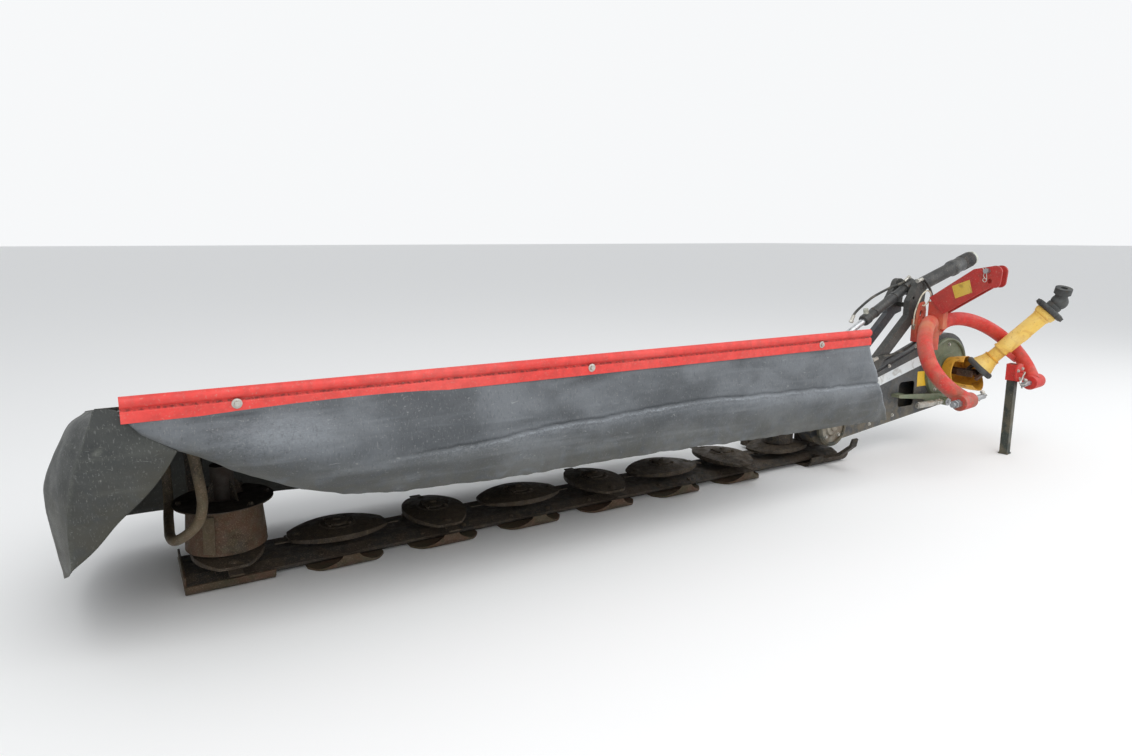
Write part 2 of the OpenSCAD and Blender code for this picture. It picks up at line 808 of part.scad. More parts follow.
module canopy() {
    color("darkslategray") placed() intersection() {
        run_x(canopy_start, side_bulge) polygon([
            [-canopy_back, canopy_z(-canopy_back)], [canopy_front, canopy_z(canopy_front)],
            [canopy_front, canopy_z(canopy_front) + sheet_thick],
            [-canopy_back, canopy_z(-canopy_back) + sheet_thick]]);
        translate([side_bulge - side_r, side_mid, 0])
            cylinder(h = 2000, r = side_r - cloth_thick - run_gap, $fn = 180);
    }
}

// Roll-formed strip: a roll over a flat face with a groove between them
module front_rail() {
    low = rail_top - rail_high;
    roll_z = rail_top - rail_roll;
    face = rail_front - 2;
    color("red") placed() {
        run_x(guard_start, guard_end) translate([rail_front - rail_roll, roll_z]) circle(rail_roll);
        run_x(guard_start, guard_end) polygon([[face - 10, roll_z - 8], [face - 8, roll_z - 18],
            [face, roll_z - 26], [face, low], [face - sheet_thick, low], [face - sheet_thick, roll_z - 27],
            [face - 13, roll_z - 20], [face - 16, roll_z - 8]]);
        run_x(guard_start, guard_end) translate([rail_back, roll_z - 46]) square([8, 48]);
    }
}

module outer_hoop() {
    r = hoop_tube / 2;
    bend = 90;
    low = 270;
    front_y = 350;
    rear_y = -60;
    x = guard_end - 94;
    color("dimgray") placed() {
        translate([x, front_y, low + bend]) cylinder(h = canopy_z(front_y - r) - low - bend - run_gap, r = r);
        translate([x, rear_y, low + bend]) cylinder(h = canopy_z(rear_y - r) - low - bend - run_gap, r = r);
        translate([x, front_y - bend, low]) rotate([90, 0, 0])
            cylinder(h = front_y - rear_y - 2 * bend, r = r);
        translate([x, front_y - bend, low + bend]) rotate([0, 90, 0]) rotate([0, 0, 0])
            rotate_extrude(angle = 90) translate([bend, 0]) circle(r);
        translate([x, rear_y + bend, low + bend]) rotate([0, 90, 0]) rotate([0, 0, -90])
            rotate_extrude(angle = 90) translate([bend, 0]) circle(r);
    }
}

cloth_y = rail_front - 2 - sheet_thick - cloth_thick - run_gap;
module front_curtain() {
    color("dimgray") placed() slab(cloth_y, cloth_y + cloth_thick)
        polygon([[guard_start + 6, rail_top - 46], [guard_start - 140, 350], [guard_start + 520, 362],
            [guard_end - 1530, 392], [guard_end - 580, 430], [guard_end - 340, 520], [guard_end - 60, 690],
            [guard_end - 40, rail_top - 46]]);
}

module outer_curtain() {
    top_front = canopy_z(canopy_front);
    top_back = canopy_z(-canopy_back);
    color("darkslategray") placed() intersection() {
        run_x(guard_end - 30, side_bulge + 10) polygon([[canopy_front - 8, top_front + 2], [-canopy_back, top_back + 3],
            [-canopy_back, 150], [-100, 200], [300, 230], [canopy_front - 8, 300]]);
        translate([side_bulge - side_r, side_mid, 0]) difference() {
            cylinder(h = 2000, r = side_r, $fn = 180);
            translate([0, 0, -1]) cylinder(h = 2002, r = side_r - cloth_thick, $fn = 180);
        }
    }
}

module rear_curtain() {
    color("darkslategray") placed()
        translate([canopy_start, -canopy_back - cloth_thick - run_gap, 130])
            cube([guard_end - canopy_start - 20, cloth_thick, canopy_z(-canopy_back) - 127]);
}

module disc_outline() {
    a = disc_long / 2;
    b = disc_wide / 2;
    big = 260;
    intersection() {
        translate([0, big - b]) circle(big, $fn = 96);
        translate([0, b - big]) circle(big, $fn = 96);
        circle(a, $fn = 96);
    }
}

// One oval disc with its hub and two knives
module disc(i) {
    color("tan") placed() translate([(i - 1) * disc_pitch, 0, 0]) rotate([0, 0, i % 2 == 1 ? 0 : 90]) {
        intersection() {
            translate([0, 0, rim_floor]) linear_extrude(disc_thick + disc_dome) disc_outline();
            rotate_extrude() polygon([[0, rim_floor], [disc_long / 2 + 1, rim_floor], [disc_long / 2 + 1, rim_top],
                [70, dome_top - 4], [64, dome_top], [0, dome_top]]);
        }
        translate([0, 0, hub_floor]) cylinder(h = rim_floor - hub_floor, r = 48);
        for (s = [0, 180]) rotate([0, 0, s])
            translate([130, -knife_wide / 2, rim_floor - knife_thick])
                cube([knife_reach - 130, knife_wide, knife_thick]);
    }
}

module inner_drum() {
    color("black") placed() translate([0, 0, dome_top]) {
        cylinder(h = inner_drum_high, d = inner_drum_wide);
        translate([0, 0, inner_drum_high - 6]) cylinder(h = 6, d = inner_drum_wide + 24);
    }
}

module end_drum() {
    color("sienna") placed() translate([last_disc, 0, 0]) {
        rotate_extrude() polygon([[0, dome_top], [drum_wide / 2, dome_top], [drum_neck / 2, drum_top - 20],
            [drum_neck / 2, drum_top], [drum_flange / 2, drum_top], [drum_flange / 2, drum_top + 5],
            [40, drum_top + 5], [40, drum_top + 130], [0, drum_top + 130]]);
    }
}

// Hoses and the pull cord follow points chosen by hand
hose_points = [[-806, 203.8, 900], [-850, 203.8, 872], [-884, 203.8, 820], [-900, 203.8, 760],
    [-902, 203.8, 700], [-896, 203.8, 640], [-870, 212, 590], [-820, 218, 560], [-740, 216, 535], [-640, 210, 512],
    [-560, 205, 500], [-500, 204, 492]];
module hydraulic_hose() {
    color("black") placed() swept(hose_points, 7, 8);
}

cord_points = [[-838, 235.4, 846], [-839.6, 246.4, 846.3], [-861, 253, 861], [-880, 256, 890], [-872, 258, 916],
    [-842, 256, 930], [-804, 252, 904], [-778, 248, 850], [-762, 246, 800], [-760, 246, 735]];
module pull_cord() {
    color("ivory") placed() swept(cord_points, 4, 8);
}

module disc_1() { disc(1); }
module disc_2() { disc(2); }
module disc_3() { disc(3); }
module disc_4() { disc(4); }
module disc_5() { disc(5); }
module disc_6() { disc(6); }
module disc_7() { disc(7); }
module disc_8() { disc(8); }

headstock();
far_leg();
mast();
top_link_pin();
near_hitch_pin();
far_hitch_pin();
pivot_block();
front_strut();
rear_strut();
belt_housing();
drive_cover();
pivot_cover();
latch_bracket();
latch_rod();
input_bell();
input_joint();
stand_bracket();
stand_leg();
hydraulic_hose();
pull_cord();
lift_barrel();
barrel_cap();
lift_rod();
shaft_yoke();
inner_shield();
lower_ring();
outer_shield();
upper_ring();
tractor_yoke();
cutterbar();
skids();
inner_shoe();
outer_shoe();
gearbox();
lift_lug();
guard_frame();
front_rail();
canopy();
outer_hoop();
front_curtain();
outer_curtain();
rear_curtain();
disc_1();
disc_2();
disc_3();
disc_4();
disc_5();
disc_6();
disc_7();
disc_8();
inner_drum();
end_drum();
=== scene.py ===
"""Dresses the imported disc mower: finishes, cords, curtains, fasteners, labels, studio and camera."""

import logging
import math
from dataclasses import dataclass
from enum import Enum
from typing import Callable, Optional, Sequence

import bmesh
import bpy
from mathutils import Matrix, Vector, noise


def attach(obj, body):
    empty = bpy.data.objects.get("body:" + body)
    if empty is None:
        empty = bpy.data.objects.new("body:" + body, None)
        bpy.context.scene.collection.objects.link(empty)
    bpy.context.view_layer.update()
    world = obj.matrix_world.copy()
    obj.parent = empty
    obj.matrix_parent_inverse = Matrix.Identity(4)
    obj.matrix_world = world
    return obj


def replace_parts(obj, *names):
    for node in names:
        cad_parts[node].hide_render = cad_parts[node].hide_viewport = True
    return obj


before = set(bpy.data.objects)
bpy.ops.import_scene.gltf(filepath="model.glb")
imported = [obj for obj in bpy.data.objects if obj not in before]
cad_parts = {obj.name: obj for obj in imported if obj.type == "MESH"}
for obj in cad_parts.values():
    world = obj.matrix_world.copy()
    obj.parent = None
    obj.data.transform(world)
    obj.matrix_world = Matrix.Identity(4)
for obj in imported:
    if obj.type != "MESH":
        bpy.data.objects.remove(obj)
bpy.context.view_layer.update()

LOG = logging.getLogger("disc_mower")
Colour = tuple[float, float, float]
Point = Sequence[float]
Route = tuple[tuple[float, float, float], ...]
Rows = tuple[tuple[float, float], ...]
Socket = bpy.types.NodeSocket

OUTWARD = Vector((1, 0, 0))
AHEAD = Vector((0, 1, 0))
UP = Vector((0, 0, 1))

# Where the row frame's origin lies, in millimetres from the first disc's axis
ORIGIN_X = 844.0
ORIGIN_Y = 164.15

# The headstock's middle, and how far it has swung back
HEAD_AT_X = -843.0
HEAD_TURN = math.radians(8.3)
HEAD_ACROSS = Vector((math.cos(HEAD_TURN), math.sin(HEAD_TURN), 0))
HEAD_FORWARD = Vector((-math.sin(HEAD_TURN), math.cos(HEAD_TURN), 0))

# The cutterbar's lug that the rod pulls, and the cylinder's trunnion
LUG = (35, 105, 490)
TRUNNION = (-880, 105, 945)

# The hitch pins' line, how far out their bosses start, and the stand's place across the headstock
PIN_Y = 678
PIN_Z = 420
BOSS_START = 366.5
STAND_X = -330

# The cutterbar's discs, the guard's slope and the bolts of its rail
DISC_COUNT = 8
DISC_PITCH = 400
GUARD_SLOPE = math.radians(11.5)
RAIL_BOLTS = (412, 1611, 2802)


def bar(x: float, y: float, z: float) -> Vector:
    """Turn a place measured in millimetres from the first disc's axis into the row frame.

    Args:
        x: Distance outward along the cutterbar.
        y: Distance forward.
        z: Height over the ground.

    Returns:
        The same place in metres.
    """
    return Vector(((x - ORIGIN_X) / 1000, (y - ORIGIN_Y) / 1000, z / 1000))


def head(x: float, y: float, z: float) -> Vector:
    """Turn a place in the headstock's own frame, in millimetres, into the row frame.

    Args:
        x: Distance across the tractor, from the headstock's middle.
        y: Distance forward.
        z: Height over the ground.

    Returns:
        The same place in metres.
    """
    c, s = math.cos(HEAD_TURN), math.sin(HEAD_TURN)
    return bar(HEAD_AT_X + x * c - y * s, x * s + y * c, z)


# The input joint's middle, and the way the driveline's shaft runs from it
JOINT_X = -1220
JOINT_Z = 440
JOINT = bar(JOINT_X, 340, JOINT_Z)
SHAFT = Vector((-0.389, 0.545, 0.743)).normalized()


def srgb(r: int, g: int, b: int) -> Colour:
    """Turn a colour as seen on a screen, 0 to 255 a channel, into the shader's linear values.

    Args:
        r: Red.
        g: Green.
        b: Blue.

    Returns:
        Three linear values from 0 to 1.
    """
    def one(v: int) -> float:
        """Linear value of one channel."""
        c = v / 255
        return c / 12.92 if c <= 0.04045 else ((c + 0.055) / 1.055) ** 2.4
    return (one(r), one(g), one(b))


def shade(colour: Colour, share: float, lift: float = 0.0) -> Colour:
    """Darken or lighten a colour.

    Args:
        colour: The colour.
        share: What its channels are multiplied by.
        lift: What is added to each.

    Returns:
        The new colour, no brighter than 1.
    """
    return tuple(min(1.0, share * c + lift) for c in colour)


# Finishes

SOOT = (0.02, 0.015, 0.012)
PALE_DUST = (0.42, 0.37, 0.28)


class Graph:
    """A new material's node tree, with short ways to add nodes and join them."""

    def __init__(self, name: str) -> None:
        """Start a material that holds one Principled shader.

        Args:
            name: The material's name.
        """
        self.material = bpy.data.materials.new(name)
        self.material.use_nodes = True
        self.tree = self.material.node_tree
        self.shader = self.tree.nodes["Principled BSDF"]
        self.coords = self.tree.nodes.new("ShaderNodeTexCoord").outputs["Object"]

    def node(self, kind: str, settings: Optional[dict] = None, **inputs: object) -> bpy.types.Node:
        """Add a node, set its properties and fill or join its inputs.

        Args:
            kind: The node's type name.
            settings: Properties of the node itself.
            **inputs: Values or sockets by input name, with _ for a space.

        Returns:
            The new node.
        """
        made = self.tree.nodes.new(kind)
        for key, value in (settings or {}).items():
            setattr(made, key, value)
        for key, value in inputs.items():
            self.feed(made.inputs[key.replace("_", " ")], value)
        return made

    def feed(self, socket: Socket, value: object) -> None:
        """Join a socket to another one, or set its value.

        Args:
            socket: The input to fill.
            value: A socket, a number or a colour.
        """
        if isinstance(value, Socket):
            self.tree.links.new(value, socket)
        elif isinstance(value, tuple) and len(value) == 3 and socket.type == "RGBA":
            socket.default_value = (*value, 1.0)
        else:
            socket.default_value = value

    def grain(self, scale: float, detail: float, stretch: Point = (1, 1, 1),
              distortion: float = 0.0) -> Socket:
        """Add a noise pattern.

        Args:
            scale: Blotches in a metre, roughly.
            detail: Finer layers of the pattern.
            stretch: Scale along each axis, on top of the first.
            distortion: How far the pattern is warped.

        Returns:
            The pattern's value, from 0 to 1.
        """
        placed = self.node("ShaderNodeMapping", Vector=self.coords, Scale=tuple(stretch))
        return self.node("ShaderNodeTexNoise", Vector=placed.outputs[0], Scale=scale, Detail=detail,
                         Distortion=distortion).outputs["Fac"]

    def waves(self, way: str, scale: float, distortion: float, coords: Socket) -> Socket:
        """Add a pattern of even bands.

        Args:
            way: The way that the bands follow each other.
            scale: How close they lie.
            distortion: How far they are warped.
            coords: Coordinates to read.

        Returns:
            The pattern's value, from 0 to 1.
        """
        return self.node("ShaderNodeTexWave", {"bands_direction": way}, Vector=coords, Scale=scale,
                         Distortion=distortion).outputs["Fac"]

    def mark(self, name: str) -> Socket:
        """Read a value that the piece's mesh keeps at each point."""
        return self.node("ShaderNodeAttribute", {"attribute_name": name}).outputs["Fac"]

    def band(self, value: object, low: float, high: float, out: Point = (0.0, 1.0)) -> Socket:
        """Map a value smoothly from one span to another, held at both ends.

        Args:
            value: The socket to read.
            low: Where the first span starts.
            high: Where the first span ends.
            out: The values at the two ends.

        Returns:
            The mapped value.
        """
        made = self.node("ShaderNodeMapRange", {"interpolation_type": "SMOOTHSTEP"}, Value=value)
        for name, number in (("From Min", low), ("From Max", high), ("To Min", out[0]), ("To Max", out[1])):
            made.inputs[name].default_value = number
        return made.outputs[0]

    def calc(self, operation: str, a: object, b: object) -> Socket:
        """Add a Math node.

        Args:
            operation: The node's operation.
            a: First value or socket.
            b: Second value or socket.

        Returns:
            The result, held between 0 and 1.
        """
        made = self.node("ShaderNodeMath", {"operation": operation, "use_clamp": True})
        self.feed(made.inputs[0], a)
        self.feed(made.inputs[1], b)
        return made.outputs[0]

    def both(self, a: object, b: object) -> Socket:
        """Multiply two shares."""
        return self.calc("MULTIPLY", a, b)

    def blend(self, share: object, under: object, over: object) -> Socket:
        """Mix two colours.

        Args:
            share: How much of the second colour.
            under: First colour or socket.
            over: Second colour or socket.

        Returns:
            The mixed colour.
        """
        made = self.node("ShaderNodeMix", {"data_type": "RGBA", "blend_type": "MIX"})
        for socket, value in ((0, share), (6, under), (7, over)):
            self.feed(made.inputs[socket], value)
        return made.outputs[2]

    def coat(self, under: object, over: object, pattern: Point, span: Point, shares: Point = (0.0, 1.0),
             stretch: Point = (1, 1, 1), distortion: float = 0.0) -> Socket:
        """Lay a colour over another one in the blotches of a noise pattern.

        Args:
            under: The colour below.
            over: The colour on top.
            pattern: Scale and detail of the noise.
            span: Where in the pattern a blotch starts, and where it is full.
            shares: How much of the top colour shows outside a blotch and inside it.
            stretch: Scale of the noise along each axis.
            distortion: How far the noise is warped.

        Returns:
            The mixed colour.
        """
        blotches = self.grain(*pattern, stretch, distortion)
        return self.blend(self.band(blotches, *span, shares), under, over)

    def height(self) -> Socket:
        """Height over the ground, in metres."""
        return self.node("ShaderNodeSeparateXYZ", Vector=self.coords).outputs["Z"]

    def edges(self, reach: float) -> Socket:
        """Find the outer and inner edges of the shape.

        Args:
            reach: Width of an edge's band, in metres.

        Returns:
            1 on an edge and 0 away from it.
        """
        round_normal = self.node("ShaderNodeBevel", {"samples": 4}, Radius=reach).outputs[0]
        true_normal = self.node("ShaderNodeNewGeometry").outputs["Normal"]
        dot = self.node("ShaderNodeVectorMath", {"operation": "DOT_PRODUCT"})
        self.feed(dot.inputs[0], round_normal)
        self.feed(dot.inputs[1], true_normal)
        return self.band(dot.outputs["Value"], 0.98, 0.75)

    def dullness(self, scale: float, detail: float, low: float, high: float) -> Socket:
        """Vary the roughness over the surface.

        Args:
            scale: Blotches in a metre, roughly.
            detail: Finer layers of the pattern.
            low: Roughness where the surface is glossiest.
            high: Roughness where it is dullest, held at 0.95.

        Returns:
            The roughness.
        """
        return self.band(self.grain(scale, detail), 0.3, 0.7, (low, min(0.95, high)))

    def relief(self, value: object, depth: float, strength: float, under: object = None) -> Socket:
        """Add a Bump node.

        Args:
            value: The height pattern.
            depth: Height of the pattern, in metres.
            strength: Share of the relief that shows.
            under: Another relief that this one lies on.

        Returns:
            The new normal.
        """
        made = self.node("ShaderNodeBump", Height=value, Distance=depth, Strength=strength)
        if under is not None:
            self.feed(made.inputs["Normal"], under)
        return made.outputs[0]

    def finish(self, colour: object, roughness: object, normal: object = None,
               metallic: object = 0.0) -> bpy.types.Material:
        """Join the patterns to the shader.

        Args:
            colour: Base colour.
            roughness: Roughness.
            normal: Bent normal, if any.
            metallic: Share of bare metal.

        Returns:
            The finished material.
        """
        for name, value in (("Base Color", colour), ("Roughness", roughness), ("Metallic", metallic)):
            self.feed(self.shader.inputs[name], value)
        if normal is not None:
            self.feed(self.shader.inputs["Normal"], normal)
        return self.material


@dataclass(frozen=True)
class Finish:
    """A finish that is built once, when a piece first asks for it."""

    name: str
    colour: Colour

    def build(self) -> bpy.types.Material:
        """Make the material."""
        raise NotImplementedError

    def material(self) -> bpy.types.Material:
        """The finish's material, made the first time."""
        found = bpy.data.materials.get(self.name)
        return found if found is not None else self.build()


@dataclass(frozen=True)
class Paint(Finish):
    """Sprayed paint that has faded, chipped along its edges and gathered dirt near the ground."""

    faded: Colour = (0.6, 0.3, 0.25)
    bare: Colour = (0.16, 0.09, 0.06)
    grime: Colour = (0.16, 0.13, 0.08)
    fade: float = 0.5
    chips: float = 0.3
    dirt: float = 0.25
    dirt_top: float = 0.5
    gloss: float = 0.42
    blotch: float = 5.0
    sun_from: Optional[float] = None
    # Height of a groove along which a line of painted shade is drawn, if any
    groove: Optional[float] = None

    def build(self) -> bpy.types.Material:
        """Make the material."""
        g = Graph(self.name)
        tone = g.coat(self.colour, self.faded, (self.blotch, 5), (0.4, 0.66), (0.0, self.fade),
                      distortion=0.6)
        tone = g.coat(tone, SOOT, (38, 6), (0.3, 0.75), (0.0, 0.22))
        chipped = g.band(g.grain(26, 8), 0.70, 0.74, (0.0, self.chips))
        rubs = g.band(g.grain(30, 5), 0.42, 0.6, (0.0, min(1.0, self.chips * 1.8)))
        worn = g.both(g.edges(0.0035), rubs)
        tone = g.blend(g.calc("MAXIMUM", chipped, worn), tone, self.bare)
        low = g.band(g.height(), 0.02, self.dirt_top, (1.0, 0.12))
        splashes = g.band(g.grain(14, 7, distortion=0.8), 0.36, 0.62, (0.0, min(1.0, self.dirt * 2)))
        tone = g.blend(g.both(low, splashes), tone, self.grime)
        if self.sun_from is not None:
            tone = self.bleach(g, tone)
        # Painted shade: a dark line along the groove
        if self.groove is not None:
            tone = self.paint_groove_shade(g, tone)
        specks = g.grain(150, 7, distortion=0.4)
        tone = g.blend(g.band(specks, 0.56, 0.75, (0.0, 0.3)), tone, PALE_DUST)
        rough = g.dullness(24, 5, self.gloss, self.gloss + 0.28)
        normal = g.relief(specks, 0.0006, 0.3, g.relief(g.grain(60, 4), 0.0012, 0.2))
        return g.finish(tone, rough, normal)

    def bleach(self, g: Graph, tone: Socket) -> Socket:
        """Fade the paint above the height that the sun reaches.

        Args:
            g: The material under way.
            tone: Its colour so far.

        Returns:
            The new colour.
        """
        high = g.band(g.height(), self.sun_from, self.sun_from + 0.14, (0.0, 0.8))
        return g.blend(g.both(high, g.band(g.grain(8, 5, distortion=0.6), 0.36, 0.6, (0.25, 1.0))), tone,
                       self.faded)

    def paint_groove_shade(self, g: Graph, tone: Socket) -> Socket:
        """Paint a thin band of shade along a level groove: painted shade, broken up by noise.

        Args:
            g: The material under way.
            tone: Its colour so far.

        Returns:
            The new colour.
        """
        slot = g.both(g.band(g.height(), self.groove - 0.004, self.groove),
                      g.band(g.height(), self.groove + 0.007, self.groove + 0.002))
        return g.blend(g.both(slot, g.band(g.grain(90, 6), 0.40, 0.62, (0.25, 0.8))), tone,
                       (0.06, 0.016, 0.012))


@dataclass(frozen=True)
class Rust(Finish):
    """Steel whose paint has gone: rust in several tones, soil in the hollows, rubbed metal on edges."""

    second: Colour = (0.10, 0.045, 0.02)
    soil: Colour = (0.12, 0.10, 0.07)
    rubbed: Colour = (0.30, 0.26, 0.22)
    rub: float = 0.5
    pit: float = 0.0012
    dark_above: Optional[float] = None

    def build(self) -> bpy.types.Material:
        """Make the material."""
        g = Graph(self.name)
        tone = g.coat(self.colour, self.second, (7, 6), (0.38, 0.62), distortion=0.8)
        tone = g.coat(tone, self.soil, (46, 8), (0.45, 0.7), (0.0, 0.7), distortion=0.5)
        fine = g.grain(230, 6)
        tone = g.blend(g.band(fine, 0.52, 0.72, (0.0, 0.45)), tone, (0.28, 0.2, 0.14))
        if self.dark_above is not None:
            top = g.band(g.height(), self.dark_above, self.dark_above + 0.004, (0.0, 0.82))
            tone = g.blend(top, tone, (0.016, 0.014, 0.012))
        edge = g.both(g.edges(0.003), g.band(g.grain(40, 4), 0.35, 0.6, (0.0, self.rub)))
        tone = g.blend(edge, tone, self.rubbed)
        normal = g.relief(fine, self.pit * 0.5, 0.5, g.relief(g.grain(70, 8), self.pit, 0.6))
        return g.finish(tone, g.dullness(30, 4, 0.62, 0.95), normal, g.both(edge, 0.7))


@dataclass(frozen=True)
class Steel(Finish):
    """Bare or plated steel with fine scratches, dull patches and a little rust."""

    rust: Colour = (0.22, 0.10, 0.05)
    rusting: float = 0.25
    dull: float = 0.4
    shine: float = 0.85

    def build(self) -> bpy.types.Material:
        """Make the material."""
        g = Graph(self.name)
        tone = g.coat(self.colour, shade(self.colour, 0.55), (45, 6), (0.3, 0.7), (0.0, 0.5), distortion=0.5)
        spots = g.band(g.grain(120, 8, distortion=0.6), 0.60, 0.70, (0.0, min(1.0, self.rusting * 3)))
        tone = g.blend(spots, tone, self.rust)
        rough = g.dullness(90, 5, self.dull * 0.7, self.dull + 0.25)
        metal = g.band(spots, 0.0, 0.6, (self.shine, 0.1))
        return g.finish(tone, rough, g.relief(g.grain(320, 5), 0.0004, 0.4), metal)


@dataclass(frozen=True)
class Plastic(Finish):
    """Moulded plastic, bleached in places, with rust-coloured stains, grease and scuffs."""

    bleached: Colour = (0.8, 0.72, 0.4)
    stain: Colour = (0.36, 0.13, 0.03)
    staining: float = 0.3
    bleach: float = 0.5
    gloss: float = 0.45

    def build(self) -> bpy.types.Material:
        """Make the material."""
        g = Graph(self.name)
        tone = g.coat(self.colour, self.bleached, (6, 5), (0.38, 0.66), (0.0, self.bleach), distortion=0.4)
        tone = g.coat(tone, self.stain, (17, 8), (0.5, 0.7), (0.0, min(1.0, self.staining * 2)),
                      distortion=1.2)
        tone = g.coat(tone, shade(self.colour, 0.22), (140, 6), (0.6, 0.74), (0.0, 0.45))
        tone = g.blend(g.both(g.edges(0.003), 0.35), tone, shade(self.colour, 1.25, 0.05))
        rough = g.dullness(32, 4, self.gloss, self.gloss + 0.25)
        return g.finish(tone, rough, g.relief(g.grain(420, 3), 0.0003, 0.35,
                                              g.relief(g.grain(12, 3), 0.003, 0.12)))


@dataclass(frozen=True)
class CurtainCloth(Finish):
    """Rubberised fabric whose weave shows through, pale with dust, rubbed along its creases and painted with
    highlights where the sheet's rubbed mark carries them.
    """

    pale: Colour = (0.30, 0.32, 0.34)
    soil: Colour = (0.13, 0.12, 0.09)
    paleness: float = 0.55
    soiling: float = 0.35
    gloss: float = 0.5
    threads: float = 190.0

    def build(self) -> bpy.types.Material:
        """Make the material."""
        g = Graph(self.name)
        tone = g.coat(self.colour, self.pale, (3.2, 5), (0.34, 0.68), (0.0, self.paleness), (1, 1, 1.6), 0.5)
        tone = g.coat(tone, self.pale, (5, 6), (0.5, 0.76), (0.0, 0.4), (0.5, 0.5, 6.0), 0.3)
        # The rubbed mark makes the cloth paler: rubbed wear, and painted highlight on folds and bulges where
        # the sheet puts it
        scuffs_and_sheen = g.band(g.grain(75, 8, (1, 1, 1.8), 1.4), 0.36, 0.62, (0.25, 0.9))
        tone = g.blend(g.both(g.mark("rubbed"), scuffs_and_sheen), tone, shade(self.pale, 1.5))
        tone = g.coat(tone, (0.42, 0.41, 0.36), (190, 7), (0.65, 0.74), (0.0, 0.45), distortion=0.3)
        tone = g.coat(tone, (0.33, 0.33, 0.32), (240, 4), (0.57, 0.74), (0.0, 0.3), (1, 1, 0.3))
        tone = g.coat(tone, (0.02, 0.022, 0.025), (150, 5), (0.54, 0.74), (0.0, 0.3), (1, 1, 0.45))
        tone = g.coat(tone, (0.45, 0.46, 0.45), (26, 9), (0.66, 0.72), (0.0, 0.35), (1, 1, 2.4), 2.0)
        smears = g.band(g.grain(16, 7, distortion=0.9), 0.25, 0.62, (0.15, self.soiling * 2))
        tone = g.blend(g.both(g.mark("soiled"), smears), tone, self.soil)
        cut = g.node("ShaderNodeUVMap", {"uv_map": "cut"}).outputs[0]
        weave = g.both(*(g.waves(way, self.threads, 0.6, cut) for way in "XY"))
        tone = g.blend(g.band(weave, 0.0, 1.0, (0.16, 0.0)), tone, (0.01, 0.01, 0.01))
        rough = g.dullness(11, 5, self.gloss, self.gloss + 0.2)
        normal = g.relief(g.grain(22, 6, distortion=0.6), 0.004, 0.22, g.relief(weave, 0.0006, 0.5))
        return g.finish(tone, rough, normal)


@dataclass(frozen=True)
class Hose(Finish):
    """Black hose rubber with a woven cover's faint bands and dust."""

    dust: Colour = (0.22, 0.20, 0.16)

    def build(self) -> bpy.types.Material:
        """Make the material."""
        g = Graph(self.name)
        tone = g.coat(self.colour, self.dust, (30, 6), (0.4, 0.7), (0.0, 0.6))
        bands = g.waves("DIAGONAL", 110.0, 1.0, g.coords)
        tone = g.blend(g.band(bands, 0.2, 0.9, (0.25, 0.0)), tone, (0.006, 0.006, 0.006))
        return g.finish(tone, g.dullness(60, 3, 0.5, 0.8), g.relief(bands, 0.0006, 0.5))


@dataclass(frozen=True)
class Rope(Finish):
    """Twisted pale cord with dirty strands, and painted shade in the grooves between them."""

    dirt: Colour = (0.28, 0.24, 0.18)

    def build(self) -> bpy.types.Material:
        """Make the material."""
        g = Graph(self.name)
        tone = g.coat(self.colour, self.dirt, (40, 6), (0.4, 0.7), (0.0, 0.7))
        # Painted shade: darker where the strand's swell is small, in the grooves between strands
        tone = g.blend(g.band(g.mark("strand"), 0.0, 0.45, (0.75, 0.0)), tone, shade(self.dirt, 0.25))
        return g.finish(tone, g.dullness(200, 3, 0.75, 0.95), g.relief(g.grain(900, 4), 0.0004, 0.6))


RED = Paint("red_paint_worn", srgb(206, 40, 34), faded=srgb(214, 92, 74), chips=0.5, dirt=0.3, fade=0.55)
RED_LEG = Paint("red_paint_leg", srgb(205, 38, 34), faded=srgb(194, 118, 84), chips=0.55, dirt=0.45,
                fade=0.45, blotch=6.5, dirt_top=0.9, sun_from=0.62)
RED_RAIL = Paint("red_paint_rail", srgb(222, 62, 56), faded=srgb(232, 104, 96), chips=0.12, dirt=0.06,
                 fade=0.32, blotch=1.4, groove=0.767)
RED_MAST = Paint("red_paint_mast", srgb(176, 38, 34), faded=srgb(172, 66, 54), chips=0.4, dirt=0.2, fade=0.5)
HOUSING = Paint("grey_black_paint", srgb(62, 65, 68), faded=srgb(92, 95, 96), chips=0.2, dirt=0.4, fade=0.5,
                bare=srgb(120, 112, 100), gloss=0.4)
CHARCOAL = Paint("charcoal_paint", srgb(58, 60, 60), faded=srgb(84, 84, 80), chips=0.35, dirt=0.4,
                 bare=srgb(96, 78, 60))
BLUE_BLACK = Paint("blue_black_worn", srgb(44, 48, 54), faded=srgb(80, 85, 92), chips=0.3, dirt=0.3,
                   bare=srgb(110, 90, 70), gloss=0.34)
GREEN_COVER = Paint("grey_green_paint", srgb(104, 116, 92), faded=srgb(142, 150, 122), chips=0.35, dirt=0.4,
                    bare=srgb(80, 78, 62))
COVER_GREY = Paint("cover_grey_paint", srgb(150, 146, 134), faded=srgb(176, 168, 150), chips=0.35, dirt=0.5,
                   bare=srgb(104, 84, 62), grime=srgb(92, 76, 56))
CYLINDER_BLACK = Paint("black_cylinder_paint", srgb(40, 42, 44), faded=srgb(74, 76, 76), chips=0.4, dirt=0.3,
                       bare=srgb(108, 82, 60), gloss=0.36)
DARK_STAND = Paint("dark_stand_paint", srgb(34, 42, 38), faded=srgb(60, 70, 62), chips=0.4, dirt=0.35,
                   bare=srgb(110, 80, 60))
BROWN_STEEL = Rust("brown_steel", srgb(92, 78, 58), second=srgb(66, 58, 46), soil=srgb(92, 84, 62), rub=0.7,
                   rubbed=srgb(150, 140, 122))
DRUM_RUST = Rust("drum_rust", srgb(86, 62, 44), second=srgb(60, 50, 36), soil=srgb(80, 72, 52), rub=0.4,
                 dark_above=0.286)
